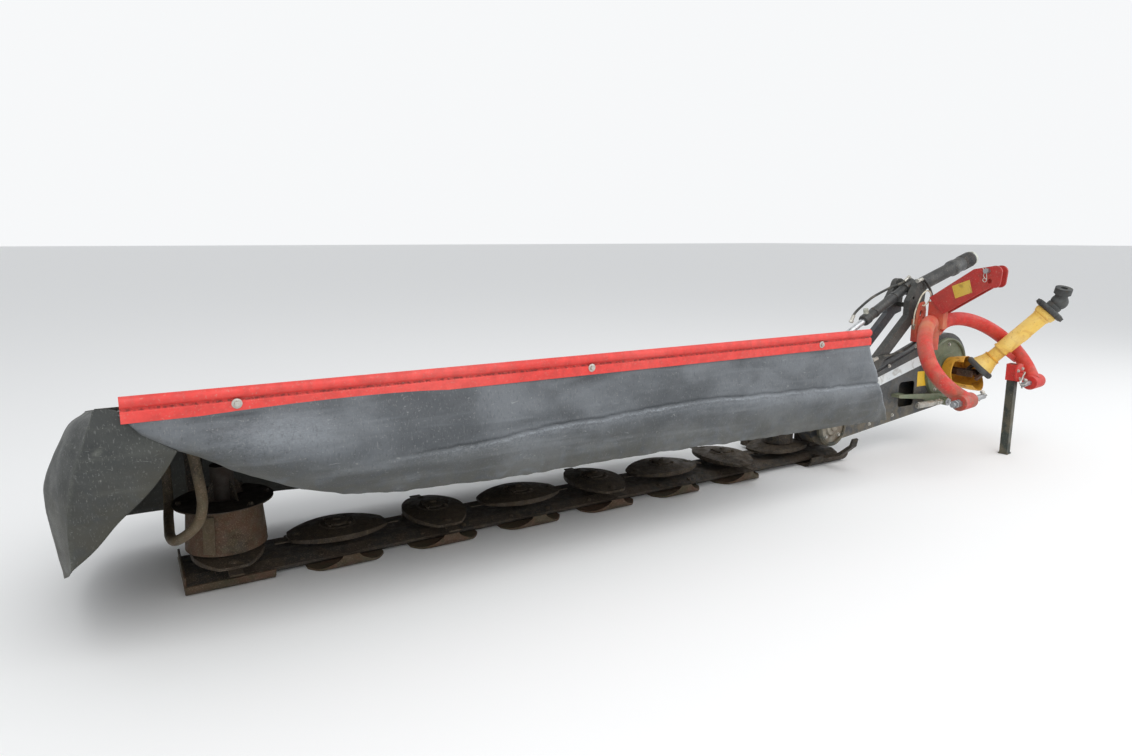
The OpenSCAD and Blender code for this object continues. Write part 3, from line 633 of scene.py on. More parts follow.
DISC_RUST = Rust("disc_rust", srgb(60, 50, 38), second=srgb(44, 38, 30), soil=srgb(74, 64, 46), rub=0.35,
                 rubbed=srgb(110, 92, 72))
SHOE_RUST = Rust("shoe_rust", srgb(66, 60, 42), second=srgb(80, 58, 42), soil=srgb(60, 56, 38), rub=0.5,
                 rubbed=srgb(118, 96, 76))
DARK_STEEL = Rust("dark_steel", srgb(38, 37, 34), second=srgb(54, 44, 34), soil=srgb(66, 58, 42), rub=0.3,
                  rubbed=srgb(96, 84, 70))
JOINT_RUST = Rust("joint_rust", srgb(92, 58, 34), second=srgb(48, 32, 22), soil=srgb(60, 48, 30), rub=0.5)
ZINC = Steel("zinc_plate", srgb(196, 194, 186), rusting=0.2, dull=0.42)
PIN_STEEL = Steel("pin_steel", srgb(168, 170, 172), rusting=0.3, dull=0.4)
CHROME = Steel("chrome_rod", srgb(206, 208, 210), rusting=0.05, dull=0.18, shine=0.95)
YELLOW_GUARD = Plastic("yellow_guard", srgb(236, 196, 92), bleached=srgb(244, 222, 148),
                       stain=srgb(176, 96, 44), staining=0.16)
YELLOW_BELL = Plastic("yellow_bell", srgb(226, 166, 48), bleached=srgb(232, 190, 90),
                      stain=srgb(150, 84, 34), staining=0.42, bleach=0.3)
BLACK_RING = Plastic("black_ring", srgb(44, 46, 46), bleached=srgb(96, 98, 96), stain=srgb(70, 58, 42),
                     staining=0.25, bleach=0.6, gloss=0.55)
CREAM_CAP = Plastic("cream_cap", srgb(184, 186, 174), bleached=srgb(212, 216, 206), stain=srgb(110, 104, 84),
                    staining=0.4)
WHITE_STRIP = Plastic("white_strip", srgb(214, 220, 222), bleached=srgb(232, 234, 232),
                      stain=srgb(150, 146, 132), staining=0.25, gloss=0.4)
YELLOW_LABEL = Plastic("yellow_label", srgb(232, 184, 40), bleached=srgb(226, 196, 84),
                       stain=srgb(126, 96, 40), staining=0.2, gloss=0.4)
OLD_LABEL = Plastic("old_yellow_label", srgb(198, 164, 60), bleached=srgb(206, 180, 92),
                    stain=srgb(110, 84, 40), staining=0.35, gloss=0.45)
FRONT_CLOTH = CurtainCloth("front_curtain_cloth", srgb(76, 80, 84), pale=srgb(132, 137, 142),
                           soil=srgb(84, 82, 70), soiling=0.45)
SIDE_CLOTH = CurtainCloth("side_curtain_cloth", srgb(54, 57, 56), pale=srgb(88, 90, 84),
                          soil=srgb(62, 58, 42), paleness=0.5, soiling=0.45)
HOSE_RUBBER = Hose("hose_rubber_black", srgb(40, 42, 40))
CORD_FIBRE = Rope("cord_fibre", srgb(214, 206, 184))

NODE_FINISHES: dict[str, Finish] = {
    "headstock": RED_LEG, "far_leg": RED, "mast": RED_MAST, "top_link_pin": PIN_STEEL,
    "near_hitch_pin": PIN_STEEL, "far_hitch_pin": PIN_STEEL, "pivot_block": CHARCOAL,
    "front_strut": CHARCOAL,
    "rear_strut": BLUE_BLACK,
    "belt_housing": HOUSING, "drive_cover": GREEN_COVER, "pivot_cover": COVER_GREY,
    "latch_bracket": GREEN_COVER,
    "latch_rod": ZINC, "input_bell": YELLOW_BELL, "input_joint": JOINT_RUST, "stand_bracket": RED,
    "stand_leg": DARK_STAND, "lift_barrel": CYLINDER_BLACK, "barrel_cap": CREAM_CAP, "lift_rod": CHROME,
    "shaft_yoke": JOINT_RUST, "inner_shield": YELLOW_GUARD, "lower_ring": BLACK_RING,
    "outer_shield": YELLOW_GUARD,
    "upper_ring": BLACK_RING, "tractor_yoke": BLACK_RING, "cutterbar": DARK_STEEL, "skids": SHOE_RUST,
    "inner_shoe": DARK_STEEL, "outer_shoe": SHOE_RUST, "gearbox": DARK_STEEL, "lift_lug": CHARCOAL,
    "guard_frame": DARK_STEEL, "front_rail": RED_RAIL, "outer_hoop": BROWN_STEEL, "inner_drum": DARK_STEEL,
    "end_drum": DRUM_RUST, **{f"disc_{i}": DISC_RUST for i in range(1, DISC_COUNT + 1)},
}


# Mesh tools


def aim(at: Vector, axis: Vector, roll: float = 0.0) -> Matrix:
    """Make a placement whose own z runs along an axis.

    Args:
        at: Where its origin lies.
        axis: Where its z points.
        roll: Turn about that axis, in radians.

    Returns:
        The placement.
    """
    turn = axis.normalized().to_track_quat("Z", "Y").to_matrix().to_4x4()
    return Matrix.Translation(at) @ turn @ Matrix.Rotation(roll, 4, "Z")


def turns(count: int, start: float = 0.0) -> list[float]:
    """Step round a circle evenly.

    Args:
        count: How many steps.
        start: Where the first one lies, as a share of a step.

    Returns:
        The angles, in radians.
    """
    return [math.tau * (k + start) / count for k in range(count)]


def spoke(angle: float) -> tuple[Vector, Vector]:
    """Find two ways in the level plane.

    Args:
        angle: Turn from outward, in radians.

    Returns:
        The way out from the axis, and the way round it.
    """
    out = Vector((math.cos(angle), math.sin(angle), 0))
    return out, Vector((-out.y, out.x, 0))


def show(name: str, data: bpy.types.ID) -> bpy.types.Object:
    """Put a new object in the scene.

    Args:
        name: Its name.
        data: Its mesh, lamp or camera.

    Returns:
        The object.
    """
    obj = bpy.data.objects.new(name, data)
    bpy.context.scene.collection.objects.link(obj)
    return obj


def thicken(obj: bpy.types.Object, wall: float) -> None:
    """Give a sheet its thickness, half to each side.

    Args:
        obj: The sheet.
        wall: The thickness, in metres.
    """
    solidify = obj.modifiers.new("thickness", "SOLIDIFY")
    solidify.thickness, solidify.offset = wall, 0.0


class Solid:
    """A mesh under way: shapes are added in place, then it becomes a dressed piece."""

    def __init__(self, name: str) -> None:
        """Start an empty mesh.

        Args:
            name: The piece's name.
        """
        self.name = name
        self.bm = bmesh.new()

    def soften(self, edges: list, width: float, segments: int = 2) -> None:
        """Bevel edges.

        Args:
            edges: The edges.
            width: Width of the bevel, or 0 to leave them sharp.
            segments: Steps across it.
        """
        if width > 0:
            bmesh.ops.bevel(self.bm, geom=edges, offset=width, segments=segments, profile=0.5,
                            affect="EDGES",
                            material=-1)

    def cylinder(self, at: Vector, axis: Vector, radius: float, length: float, sides: int = 24,
                 roll: float = 0.0,
                 bevel: float = 0.0) -> None:
        """Add a cylinder or prism that starts at a point.

        Args:
            at: Middle of its foot.
            axis: The way it runs.
            radius: Radius at its foot.
            length: Its length.
            sides: Number of sides.
            roll: Turn about its axis.
            bevel: Width of a bevel round its far edge.
        """
        way = axis.normalized()
        place = aim(at, axis, roll) @ Matrix.Translation((0, 0, length / 2))
        made = bmesh.ops.create_cone(self.bm, cap_ends=True, segments=sides, radius1=radius, radius2=radius,
                                     depth=length, matrix=place)
        far = at + way * length
        rim = [e for e in {e for v in made["verts"] for e in v.link_edges}
               if all(abs((v.co - far).dot(way)) < 1e-6 for v in e.verts)]
        self.soften(rim, bevel)

    def spun(self, at: Vector, axis: Vector, outline: Sequence[tuple[float, float]], sides: int) -> None:
        """Add a turned shape, closed where its outline's ends lie on the axis or meet.

        Args:
            at: Where height 0 lies.
            axis: The way height runs.
            outline: Radius and height of each point.
            sides: Number of steps round the axis.
        """
        place = aim(at, axis)
        verts = [self.bm.verts.new(place @ Vector((r, 0, h))) for r, h in outline]
        edges = [self.bm.edges.new(pair) for pair in zip(verts, verts[1:])]
        bmesh.ops.spin(self.bm, geom=verts + edges, cent=at, axis=axis.normalized(), dvec=(0, 0, 0),
                       angle=math.tau, steps=sides, use_merge=True, use_duplicate=False)

    def block(self, at: Vector, size: Point, turn: Optional[Matrix], bevel: float) -> None:
        """Add a box about its middle, with rounded edges.

        Args:
            at: Its middle.
            size: Its length along each of its own axes.
            turn: Its own axes, or None for the row's.
            bevel: Width of the bevel on its edges.
        """
        place = Matrix.Translation(at) @ (turn or Matrix.Identity(4)) @ Matrix.Diagonal((*size, 1))
        made = bmesh.ops.create_cube(self.bm, size=1, matrix=place)
        self.soften(list({e for v in made["verts"] for e in v.link_edges}), bevel)

    def plate(self, corners: Sequence[Vector], depth: Vector, bevel: float) -> None:
        """Add a flat plate from its corners.

        Args:
            corners: Corners of one face, in order.
            depth: From that face to the other.
            bevel: Width of the bevel on its edges.
        """
        verts = [self.bm.verts.new(c) for c in corners]
        moved = self.grow([self.bm.faces.new(verts)], depth, False)
        self.soften(list({e for v in verts + moved for e in v.link_edges}), bevel, 1)

    def grow(self, faces: list, depth: Vector, keep: bool) -> list:
        """Extrude faces.

        Args:
            faces: The faces.
            depth: From them to the new ones.
            keep: Whether the old faces stay.

        Returns:
            The new points.
        """
        grown = bmesh.ops.extrude_face_region(self.bm, geom=faces, use_keep_orig=keep)
        moved = [g for g in grown["geom"] if isinstance(g, bmesh.types.BMVert)]
        bmesh.ops.translate(self.bm, verts=moved, vec=depth)
        return moved

    def tube(self, path: Sequence[Vector], radius: float, sides: int = 12, closed: bool = False,
             swell: Optional[Callable[[float, float], float]] = None, layer: Optional[str] = None) -> None:
        """Sweep a round section along a path.

        Args:
            path: Points of its centre line.
            radius: Its radius.
            sides: Sides of the section.
            closed: Whether its end joins its start.
            swell: Share of the radius at a run along the path and an angle round it.
            layer: Name of an attribute that keeps swell's value.
        """
        store = self.bm.verts.layers.float.new(layer) if layer else None
        rings, run, side = [], 0.0, None
        count = len(path)
        for i, p in enumerate(path):
            before = path[i - 1] if (i or closed) else p
            after = path[(i + 1) % count] if (i < count - 1 or closed) else p
            t = (after - before).normalized()
            side = (side - t * side.dot(t)).normalized() if side is not None else t.orthogonal().normalized()
            up = t.cross(side)
            run += (p - path[i - 1]).length if i else 0.0
            made = bmesh.ops.create_circle(self.bm, segments=sides, radius=1.0)["verts"]
            for k, v in enumerate(made):
                a = math.tau * k / sides
                share = swell(run, a) if swell else 1.0
                v.co = p + (side * math.cos(a) + up * math.sin(a)) * radius * share
                if store:
                    v[store] = share
            rings.append(list({e for v in made for e in v.link_edges}))
        pairs = list(zip(rings, rings[1:])) + ([(rings[-1], rings[0])] if closed else [])
        for first, second in pairs:
            bmesh.ops.bridge_loops(self.bm, edges=first + second)
        if not closed:
            bmesh.ops.holes_fill(self.bm, edges=rings[0] + rings[-1], sides=sides)

    def sheet_with_holes(self, corners: Sequence[Vector], holes: Sequence[tuple[Vector, float]],
                         depth: Vector) -> None:
        """Add a flat plate with round holes.

        Args:
            corners: Corners of one face, in order.
            holes: Middle and radius of each hole, in the face's plane.
            depth: From that face to the other.
        """
        n = depth.normalized()
        side = (corners[1] - corners[0]).normalized()
        up = n.cross(side)
        rounds = [[at + (side * math.cos(a) + up * math.sin(a)) * r for a in turns(32)] for at, r in holes]
        edges = []
        for loop in [corners, *rounds]:
            verts = [self.bm.verts.new(p) for p in loop]
            edges += [self.bm.edges.new(pair) for pair in zip(verts, verts[1:] + verts[:1])]
        made = bmesh.ops.triangle_fill(self.bm, edges=edges, use_beauty=True, normal=n)
        self.grow([g for g in made["geom"] if isinstance(g, bmesh.types.BMFace)], depth, True)

    def bolt(self, at: Vector, axis: Vector, across: float, washer: float, roll: float = 0.3) -> None:
        """Add a hexagon bolt head on its washer.

        Args:
            at: Where the washer lies on the surface.
            axis: The way the head stands out.
            across: Width of the hexagon.
            washer: Radius of the washer.
            roll: Turn of the hexagon.
        """
        n = axis.normalized()
        thick = across * 0.13
        self.spun(at, n, [(0, -0.001), (washer, -0.001), (washer, thick * 0.7), (washer * 0.94, thick),
                          (0, thick)], 28)
        self.cylinder(at + n * thick, n, across / math.sqrt(3), across * 0.5, sides=6, roll=roll,
                      bevel=across * 0.05)

    def piece(self, body: str, finish: Finish, keep_sharp: float = 35.0) -> bpy.types.Object:
        """Turn the mesh into an object that rides on a body and has its finish.

        Args:
            body: Name of the CAD body.
            finish: The finish.
            keep_sharp: Edges that bend more than this, in degrees, stay sharp.

        Returns:
            The finished object.
        """
        bmesh.ops.remove_doubles(self.bm, verts=self.bm.verts, dist=1e-6)
        bmesh.ops.recalc_face_normals(self.bm, faces=self.bm.faces)
        for face in self.bm.faces:
            face.smooth = True
        for edge in self.bm.edges:
            edge.smooth = edge.calc_face_angle(0.0) < math.radians(keep_sharp)
        mesh = bpy.data.meshes.new(self.name)
        self.bm.to_mesh(mesh)
        self.bm.free()
        obj = show(self.name, mesh)
        mesh.materials.append(finish.material())
        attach(obj, body)
        LOG.info("%s rides on %s: %d faces", self.name, body, len(mesh.polygons))
        return obj


def curve_point(before: Vector, a: Vector, b: Vector, after: Vector, t: float) -> Vector:
    """Find a point of the smooth curve through four points.

    Args:
        before: The point before the stretch.
        a: Where the stretch starts.
        b: Where it ends.
        after: The point after it.
        t: Share of the way along the stretch.

    Returns:
        The point.
    """
    return 0.5 * (2 * a + (b - before) * t + (2 * before - 5 * a + 4 * b - after) * t * t
                  + (3 * a - before - 3 * b + after) * t ** 3)


def smooth_path(points: Sequence[Vector], step: float) -> list[Vector]:
    """Run a smooth line through points, with even steps.

    Args:
        points: Points that the line passes.
        step: Distance between two points of the line, roughly.

    Returns:
        The line's points.
    """
    line: list[Vector] = []
    for i in range(len(points) - 1):
        a, b = points[i], points[i + 1]
        before = points[i - 1] if i else a * 2 - b
        after = points[i + 2] if i + 2 < len(points) else b * 2 - a
        count = max(2, round((b - a).length / step))
        for k in range(count):
            line.append(curve_point(before, a, b, after, k / count))
    return line + [points[-1]]


def held(value: float) -> float:
    """Hold a value between 0 and 1."""
    return min(1.0, max(0.0, value))


def hump(away: float, width: float) -> float:
    """Fall off smoothly from 1 at a place.

    Args:
        away: Distance from the place.
        width: Distance at which about a third is left.

    Returns:
        The value.
    """
    return math.exp(-(away / width) ** 2)


def table_value(rows: Rows, x: float) -> float:
    """Read a value between the rows of a table.

    Args:
        rows: Pairs of place and value, in rising order of place.
        x: The place to read.

    Returns:
        The value there.
    """
    if x <= rows[0][0]:
        return rows[0][1]
    for (x0, v0), (x1, v1) in zip(rows, rows[1:]):
        if x <= x1:
            return v0 + (v1 - v0) * (x - x0) / (x1 - x0)
    return rows[-1][1]


def ripple(x: float, y: float, seed: float) -> float:
    """Soft noise from -1 to 1.

    Args:
        x: First place.
        y: Second place.
        seed: Which pattern.

    Returns:
        The value.
    """
    return noise.noise(Vector((x, y, seed)))


# Cords and hoses


@dataclass
class PullCord:
    """The cord that frees the break-away latch, from its lug over the headstock to its knot."""

    width: float = 0.008
    strands: int = 3
    lay: float = 0.022
    knot_width: float = 0.0068
    route: Route = (
        (-838, 235.4, 846), (-839.6, 246.4, 846.3), (-861, 253, 861), (-880, 256, 890), (-872, 258, 916),
        (-842, 256, 930), (-804, 252, 904), (-778, 248, 850), (-762, 246, 800), (-760, 246, 735))

    def strand(self, run: float, angle: float) -> float:
        """Swell the section where a strand lies.

        Args:
            run: Distance along the cord.
            angle: Angle round it.

        Returns:
            Share of the radius.
        """
        return 0.9 + 0.15 * abs(math.cos(self.strands / 2 * angle - math.tau * run / self.lay))

    def make(self) -> None:
        line = smooth_path([bar(*p) for p in self.route], 0.0025)
        rope = Solid("pull_cord_rope")
        rope.tube(line, self.width / 2 * 0.93, 18, layer="strand", swell=self.strand)
        cord = rope.piece("frame", CORD_FIBRE, 180)
        knot = Solid("pull_cord_knot")
        loops = [line[-1] + Vector((0.006 * (math.sin(t) + 1.1 * math.sin(2 * t)), 0.0045 * math.sin(3 * t),
                                    -0.002 + 0.007 * (math.cos(t) - 1.1 * math.cos(2 * t))))
                 for t in turns(60)]
        knot.tube(loops, self.knot_width / 2, 10, closed=True)
        tied = knot.piece("frame", CORD_FIBRE, 180)
        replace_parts(cord, "pull_cord")


@dataclass
class Hoses:
    """The hydraulic line along the belt housing, and the one clamped to the lift cylinder."""

    width: float = 0.014
    housing_route: Route = (
        (-838, 203.8, 985), (-870, 206, 990), (-905, 208, 968), (-948, 210, 915), (-964, 212, 860),
        (-952, 212, 790),
        (-912, 210, 703), (-850, 208, 640), (-774, 206, 602), (-700, 205, 584), (-632, 204, 576),
        (-560, 204, 572),
        (-500, 204, 560))
    cylinder_route: Route = (
        (-858, 118, 992), (-838, 112, 976), (-807, 108, 962), (-745, 106, 948), (-683, 106, 930),
        (-625, 106, 911),
        (-567, 106, 889), (-500, 105, 852), (-440, 105, 812), (-418, 105, 776))

    def make(self) -> None:
        """Build both hoses with their end fittings and clamps."""
        for name, body, route in (("housing_hose", "frame", self.housing_route),
                                  ("cylinder_hose", "barrel", self.cylinder_route)):
            line = smooth_path([bar(*p) for p in route], 0.012)
            hose = Solid(name)
            hose.tube(line, self.width / 2, 14)
            made = hose.piece(body, HOSE_RUBBER, 180)
            if body == "frame":
                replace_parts(made, "hydraulic_hose")
            ends = Solid(f"{name}_fittings")
            for at, inward in ((line[0], line[1] - line[0]), (line[-1], line[-2] - line[-1])):
                n = inward.normalized()
                ends.cylinder(at - n * 0.004, n, 0.0095, 0.026, sides=20, bevel=0.001)
                ends.cylinder(at - n * 0.016, n, 0.0125, 0.013, sides=6, bevel=0.0008)
                ends.spun(at + n * 0.022, n, [(0.0072, 0), (0.0102, 0), (0.0102, 0.004), (0.0072, 0.004)],
                          20)
            ends.piece(body, ZINC)


# Curtains


class Hold(Enum):
    """How a sheet of the guard is held."""

    HUNG = "hung"
    STRETCHED = "stretched"


@dataclass
class Sheet:
    """A sheet of rubberised fabric, shaped on a grid of its cut and given its thickness."""

    name: str
    columns: int
    rows: int
    finish: CurtainCloth
    hold: Hold
    node: str
    rests: tuple[str, ...]
    thick: float = 0.0035

    def place(self, s: float, t: float) -> Vector:
        """Where a point of the cut hangs.

        Args:
            s: Share of the way along the sheet.
            t: Share of the way down it.

        Returns:
            The point in the row frame.
        """
        raise NotImplementedError

    def rubbed(self, s: float, t: float) -> float:
        """How far a point is made pale, by rubbing and by painted highlight, from 0 to 1."""
        return 0.0

    def soiled(self, s: float, t: float) -> float:
        """How far a point is soiled, from 0 to 1."""
        return max(0.0, t - 0.55) * 1.6

    def make(self) -> bpy.types.Object:
        """Returns:
            The sheet.
        """
        solid = Solid(self.name)
        bm = solid.bm
        bmesh.ops.create_grid(bm, x_segments=self.columns, y_segments=self.rows, size=0.5)
        marks = {key: bm.verts.layers.float.new(key) for key in ("rubbed", "soiled")}
        spots = {}
        for v in bm.verts:
            s, t = v.co.x + 0.5, 0.5 - v.co.y
            spots[v] = (s, t)
            # The rubbed mark holds rubbed wear together with painted highlights
            v[marks["rubbed"]] = self.rubbed(s, t)
            v[marks["soiled"]] = self.soiled(s, t)
        for v, (s, t) in spots.items():
            v.co = self.place(s, t)
        wide = (self.place(1, 0.2) - self.place(0, 0.2)).length
        tall = (self.place(0.5, 1) - self.place(0.5, 0)).length
        cut = bm.loops.layers.uv.new("cut")
        for face in bm.faces:
            for loop in face.loops:
                s, t = spots[loop.vert]
                loop[cut].uv = (s * wide, t * tall)
        area = sum(f.calc_area() for f in bm.faces)
        bm.verts.ensure_lookup_table()
        obj = solid.piece("cutterbar_unit", self.finish, 60)
        thicken(obj, self.thick)
        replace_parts(obj, self.node)
        return obj


@dataclass
class FrontCurtain(Sheet):
    """The long curtain behind the front rail, creased along its middle and curling in at its hem."""

    hem: Rows = (
        (-72, 352), (180, 362), (600, 368), (1080, 384), (1560, 392), (1980, 394), (2340, 408), (2510, 430),
        (2640, 468), (2750, 522), (2820, 560), (2910, 610), (2965, 640), (3036, 690))
    crease: Rows = (
        (-20, 540), (300, 548), (700, 560), (1095, 574), (1400, 566), (1570, 556), (1760, 560), (1980, 540),
        (2200, 534), (2400, 528))
    crease_end: float = 2450
    top: Point = (88, 3096)
    low: Point = (-100, 3036)
    top_z: float = 759
    rail_low: float = 733
    plane: float = 616.7

    def flat_place(self, s: float, t: float) -> tuple[float, float]:
        """Find a point of the cut before the fabric waves.

        Args:
            s: Share of the way along the sheet.
            t: Share of the way down it.

        Returns:
            Outward place and height, in millimetres.
        """
        top_x, low_x = (start + (end - start) * s for start, end in (self.top, self.low))
        low_z = table_value(self.hem, low_x)
        x = top_x + (low_x - top_x) * t ** (1 + 0.5 * (1 - s) ** 6)
        drop = low_z - self.top_z + 5 * ripple(x / 110, 0, 9.9) + 3 * ripple(x / 37, 0, 3.1)
        return x, self.top_z + drop * t

    def over_crease(self, x: float, z: float) -> float:
        """How far a point lies over the long crease, in millimetres."""
        return z - table_value(self.crease, x) - 6 * ripple(x / 80, 3, 1.7) - 3 * ripple(x / 27, 1, 4.1)

    def lasting(self, x: float) -> float:
        """How much of the crease is left at a place along it."""
        return held((self.crease_end - x) / 300)

    def crease_share(self, x: float, z: float) -> float:
        """How close a point lies to the long crease, from 0 to 1."""
        return hump(self.over_crease(x, z), 4.5) * self.lasting(x) * (0.6 + 0.4 * ripple(x / 200, 0, 5.2))

    def place(self, s: float, t: float) -> Vector:
        """Where a point of the cut hangs."""
        x, z = self.flat_place(s, t)
        drop = max(0.0, self.rail_low - z)
        free = min(1.0, drop / 120)
        waves = 12 * math.sin(math.pi * min(1, t)) + 7 * ripple(x / 430, z / 300, 0.4)
        waves += 3.5 * ripple(x / 140, z / 95, 2.6)
        d = self.over_crease(x, z)
        fold = 5.5 * self.crease_share(x, z) + self.lasting(x) * 7 * (hump(d + 40, 34) - hump(d - 10, 7))
        dents = 4 * max(0.0, ripple(x / 70, z / 46, 9.3)) - 5 * max(0.0, ripple(x / 55, z / 38, 12.6) - 0.25)
        edge = 6 * hump(x - self.flat_place(0, t)[0], 60) * math.sin(6 * t)
        y = self.plane + free * (waves + fold + dents + edge)
        belly = hump(x - self.crease_end, 430)
        y += belly * 34 * (math.sin(math.pi * min(1, t * 0.92)) - max(0.0, t - 0.72) / 0.28)
        y -= (1 - belly) * 16 * max(0.0, t - 0.86) / 0.14
        for bolt in RAIL_BOLTS:
            near = hump(x - bolt, 60)
            y += near * (4 * hump(z - 672, 34) - 10 * hump(z - 712, 24) * min(1, drop / 12))
        return bar(x, y, z)

    def rubbed(self, s: float, t: float) -> float:
        """How far a point is made pale: rubbed along the inner edge, rubbed and painted as a highlight along
        the crease and the fold under it, and a painted highlight on the belly.
        """
        x, z = self.flat_place(s, t)
        inner = hump(x - self.flat_place(0, t)[0], 7)
        # The crease's pale line (in the sum below) and the pale band under it, on the fold's bulge, are
        # partly rubbed wear, partly painted highlight
        below = 0.25 * hump(z - table_value(self.crease, x) + 10, 14) * self.lasting(x)
        # Painted highlight on the belly's bulge
        belly = 0.35 * hump(x - 2700, 190) * hump(z - 660, 60)
        return min(1.0, 0.8 * self.crease_share(x, z) + inner + below + belly)


@dataclass
class OuterCurtain(Sheet):
    """The curtain round the guard's outer end, creased at the front corner, down to its low tip."""

    # Each column: four points from its top to its hem, as x, y and z
    net: tuple[tuple[tuple[float, float, float], ...], ...] = (
        ((3040, 611, 692), (3020, 612, 680), (2990, 613, 661), (2962, 613, 640)),
        ((3066, 613, 736), (3052, 608, 690), (3030, 600, 630), (3002, 597, 574)),
        ((3092, 614, 766), (3096, 604, 690), (3088, 592, 600), (3054, 580, 510)),
        ((3112, 612, 774), (3132, 600, 690), (3140, 584, 570), (3118, 560, 444)),
        ((3134, 606, 775), (3162, 592, 680), (3186, 572, 540), (3176, 542, 376)),
        ((3150, 602, 772), (3180, 584, 678), (3226, 556, 540), (3246, 520, 312)),
        ((3142, 560, 765), (3206, 520, 700), (3268, 472, 520), (3262, 440, 268)),
        ((3134, 500, 753), (3222, 430, 690), (3292, 380, 505), (3276, 352, 232)),
        ((3160, 400, 733), (3232, 330, 668), (3304, 270, 480), (3284, 240, 196)),
        ((3182, 250, 702), (3240, 190, 640), (3312, 140, 450), (3292, 110, 170)),
        ((3188, 80, 668), (3244, 30, 606), (3314, -10, 425), (3292, -40, 158)),
        ((3180, -100, 631), (3236, -140, 572), (3296, -170, 400), (3268, -200, 150)),
        ((3152, -280, 595), (3196, -305, 536), (3236, -330, 380), (3212, -350, 146)),
        ((3108, -440, 563), (3128, -448, 520), (3142, -452, 380), (3130, -454, 146)))
    corner: int = 5

    def place(self, s: float, t: float) -> Vector:
        """Where a point of the cut hangs."""
        last = len(self.net) - 1
        i = min(last - 1, int(s * last))

        def column(k: int) -> Vector:
            """Point of one column at this height."""
            points = [Vector(p) for p in self.net[min(last, max(0, k))]]
            j = min(2, int(t * 3))
            a, b = points[j], points[j + 1]
            before = points[j - 1] if j else a * 2 - b
            after = points[j + 2] if j < 2 else b * 2 - a
            return curve_point(before, a, b, after, t * 3 - j)

        a, b = column(i), column(i + 1)
        before = a * 2 - b if i in (0, self.corner) else column(i - 1)
        after = b * 2 - a if i + 1 in (last, self.corner) else column(i + 2)
        p = curve_point(before, a, b, after, s * last - i)
        free = min(1.0, t * 3) * min(1.0, s * 6)
        p.x += free * (7 * ripple(p.y / 130, p.z / 170, 4.1) + 3 * ripple(p.y / 50, p.z / 60, 7.7))
        p.y += free * (5 * ripple(p.x / 90, p.z / 130, 2.2) if s < 0.42 else 0)
        return bar(*p)

    def rubbed(self, s: float, t: float) -> float:
        """How far a point is rubbed pale: the corner's crease and a few marks below the slit."""
        at_corner = hump(s - self.corner / (len(self.net) - 1), 0.008) * (0.5 + 0.4 * ripple(t * 6, 0, 3.3))
        top = 0.6 * hump(t, 0.05) if s > 0.4 else 0.0
        scuff = 0.9 * hump(s - 0.24 - 0.06 * t, 0.03) * hump(t - 0.42, 0.03)
        return held(at_corner + top + scuff)


@dataclass
class RearCurtain(Sheet):
    """The plain curtain along the guard's back, in shallow waves, that reaches to the outer curtain."""

    start: float = 404
    # How far out it reaches at each share of its drop
    reach: Rows = ((0.0, 3112), (0.06, 3126), (0.2, 3140), (0.45, 3146), (1.0, 3131))
    top_z: float = 558
    hem_z: float = 132
    plane: float = -452.3

    def place(self, s: float, t: float) -> Vector:
        """Where a point of the cut hangs."""
        x = self.start + (table_value(self.reach, t) - self.start) * s
        z = self.top_z + (self.hem_z + 9 * ripple(x / 300, 0, 6.1) - self.top_z) * t
        y = self.plane + t * (9 * ripple(x / 210, z / 500, 1.1) + 5 * math.sin(x / 61) * t)
        return bar(x, y, z)


@dataclass
class Canopy(Sheet):
    """The sheet over the guard, stretched from rail to rear edge and sagging between its ribs."""

    ribs: tuple[float, ...] = (400, 1250, 2100, 3020)
    start: float = 402
    # How far out it reaches at each distance forward
    edge: Rows = (
        (-450, 3108), (-360, 3134), (-280, 3154), (-190, 3170), (-100, 3181), (80, 3189), (250, 3183),
        (330, 3173),
        (400, 3161), (500, 3136), (560, 3143), (586, 3147))
    front: float = 586
    rear: float = -450
    front_z: float = 773
    sag: float = 15

    def place(self, s: float, t: float) -> Vector:
        """Where a point of the cut lies."""
        y = self.front + (self.rear - self.front) * t
        x = self.start + (table_value(self.edge, y) - self.start) * s
        back = self.front + 1 - y
        slack = math.sin(math.pi * held(back / 880)) ** 0.8
        for a, b in zip(self.ribs, self.ribs[1:]):
            if a <= x <= b:
                slack *= math.sin(math.pi * (x - a) / (b - a)) ** 0.8
        if x > self.ribs[-1]:
            slack = 0.0
        low = slack * (self.sag + 1.6 * ripple(x / 160, y / 120, 8.8))
        z = self.front_z - back * math.tan(GUARD_SLOPE) - low
        return bar(x, y, z)

    def soiled(self, s: float, t: float) -> float:
        """How far a point is soiled: dust and old grass all over the top."""
        return 0.45 + 0.3 * ripple(s * 9, t * 4, 1.0)


# Guard and cutterbar details


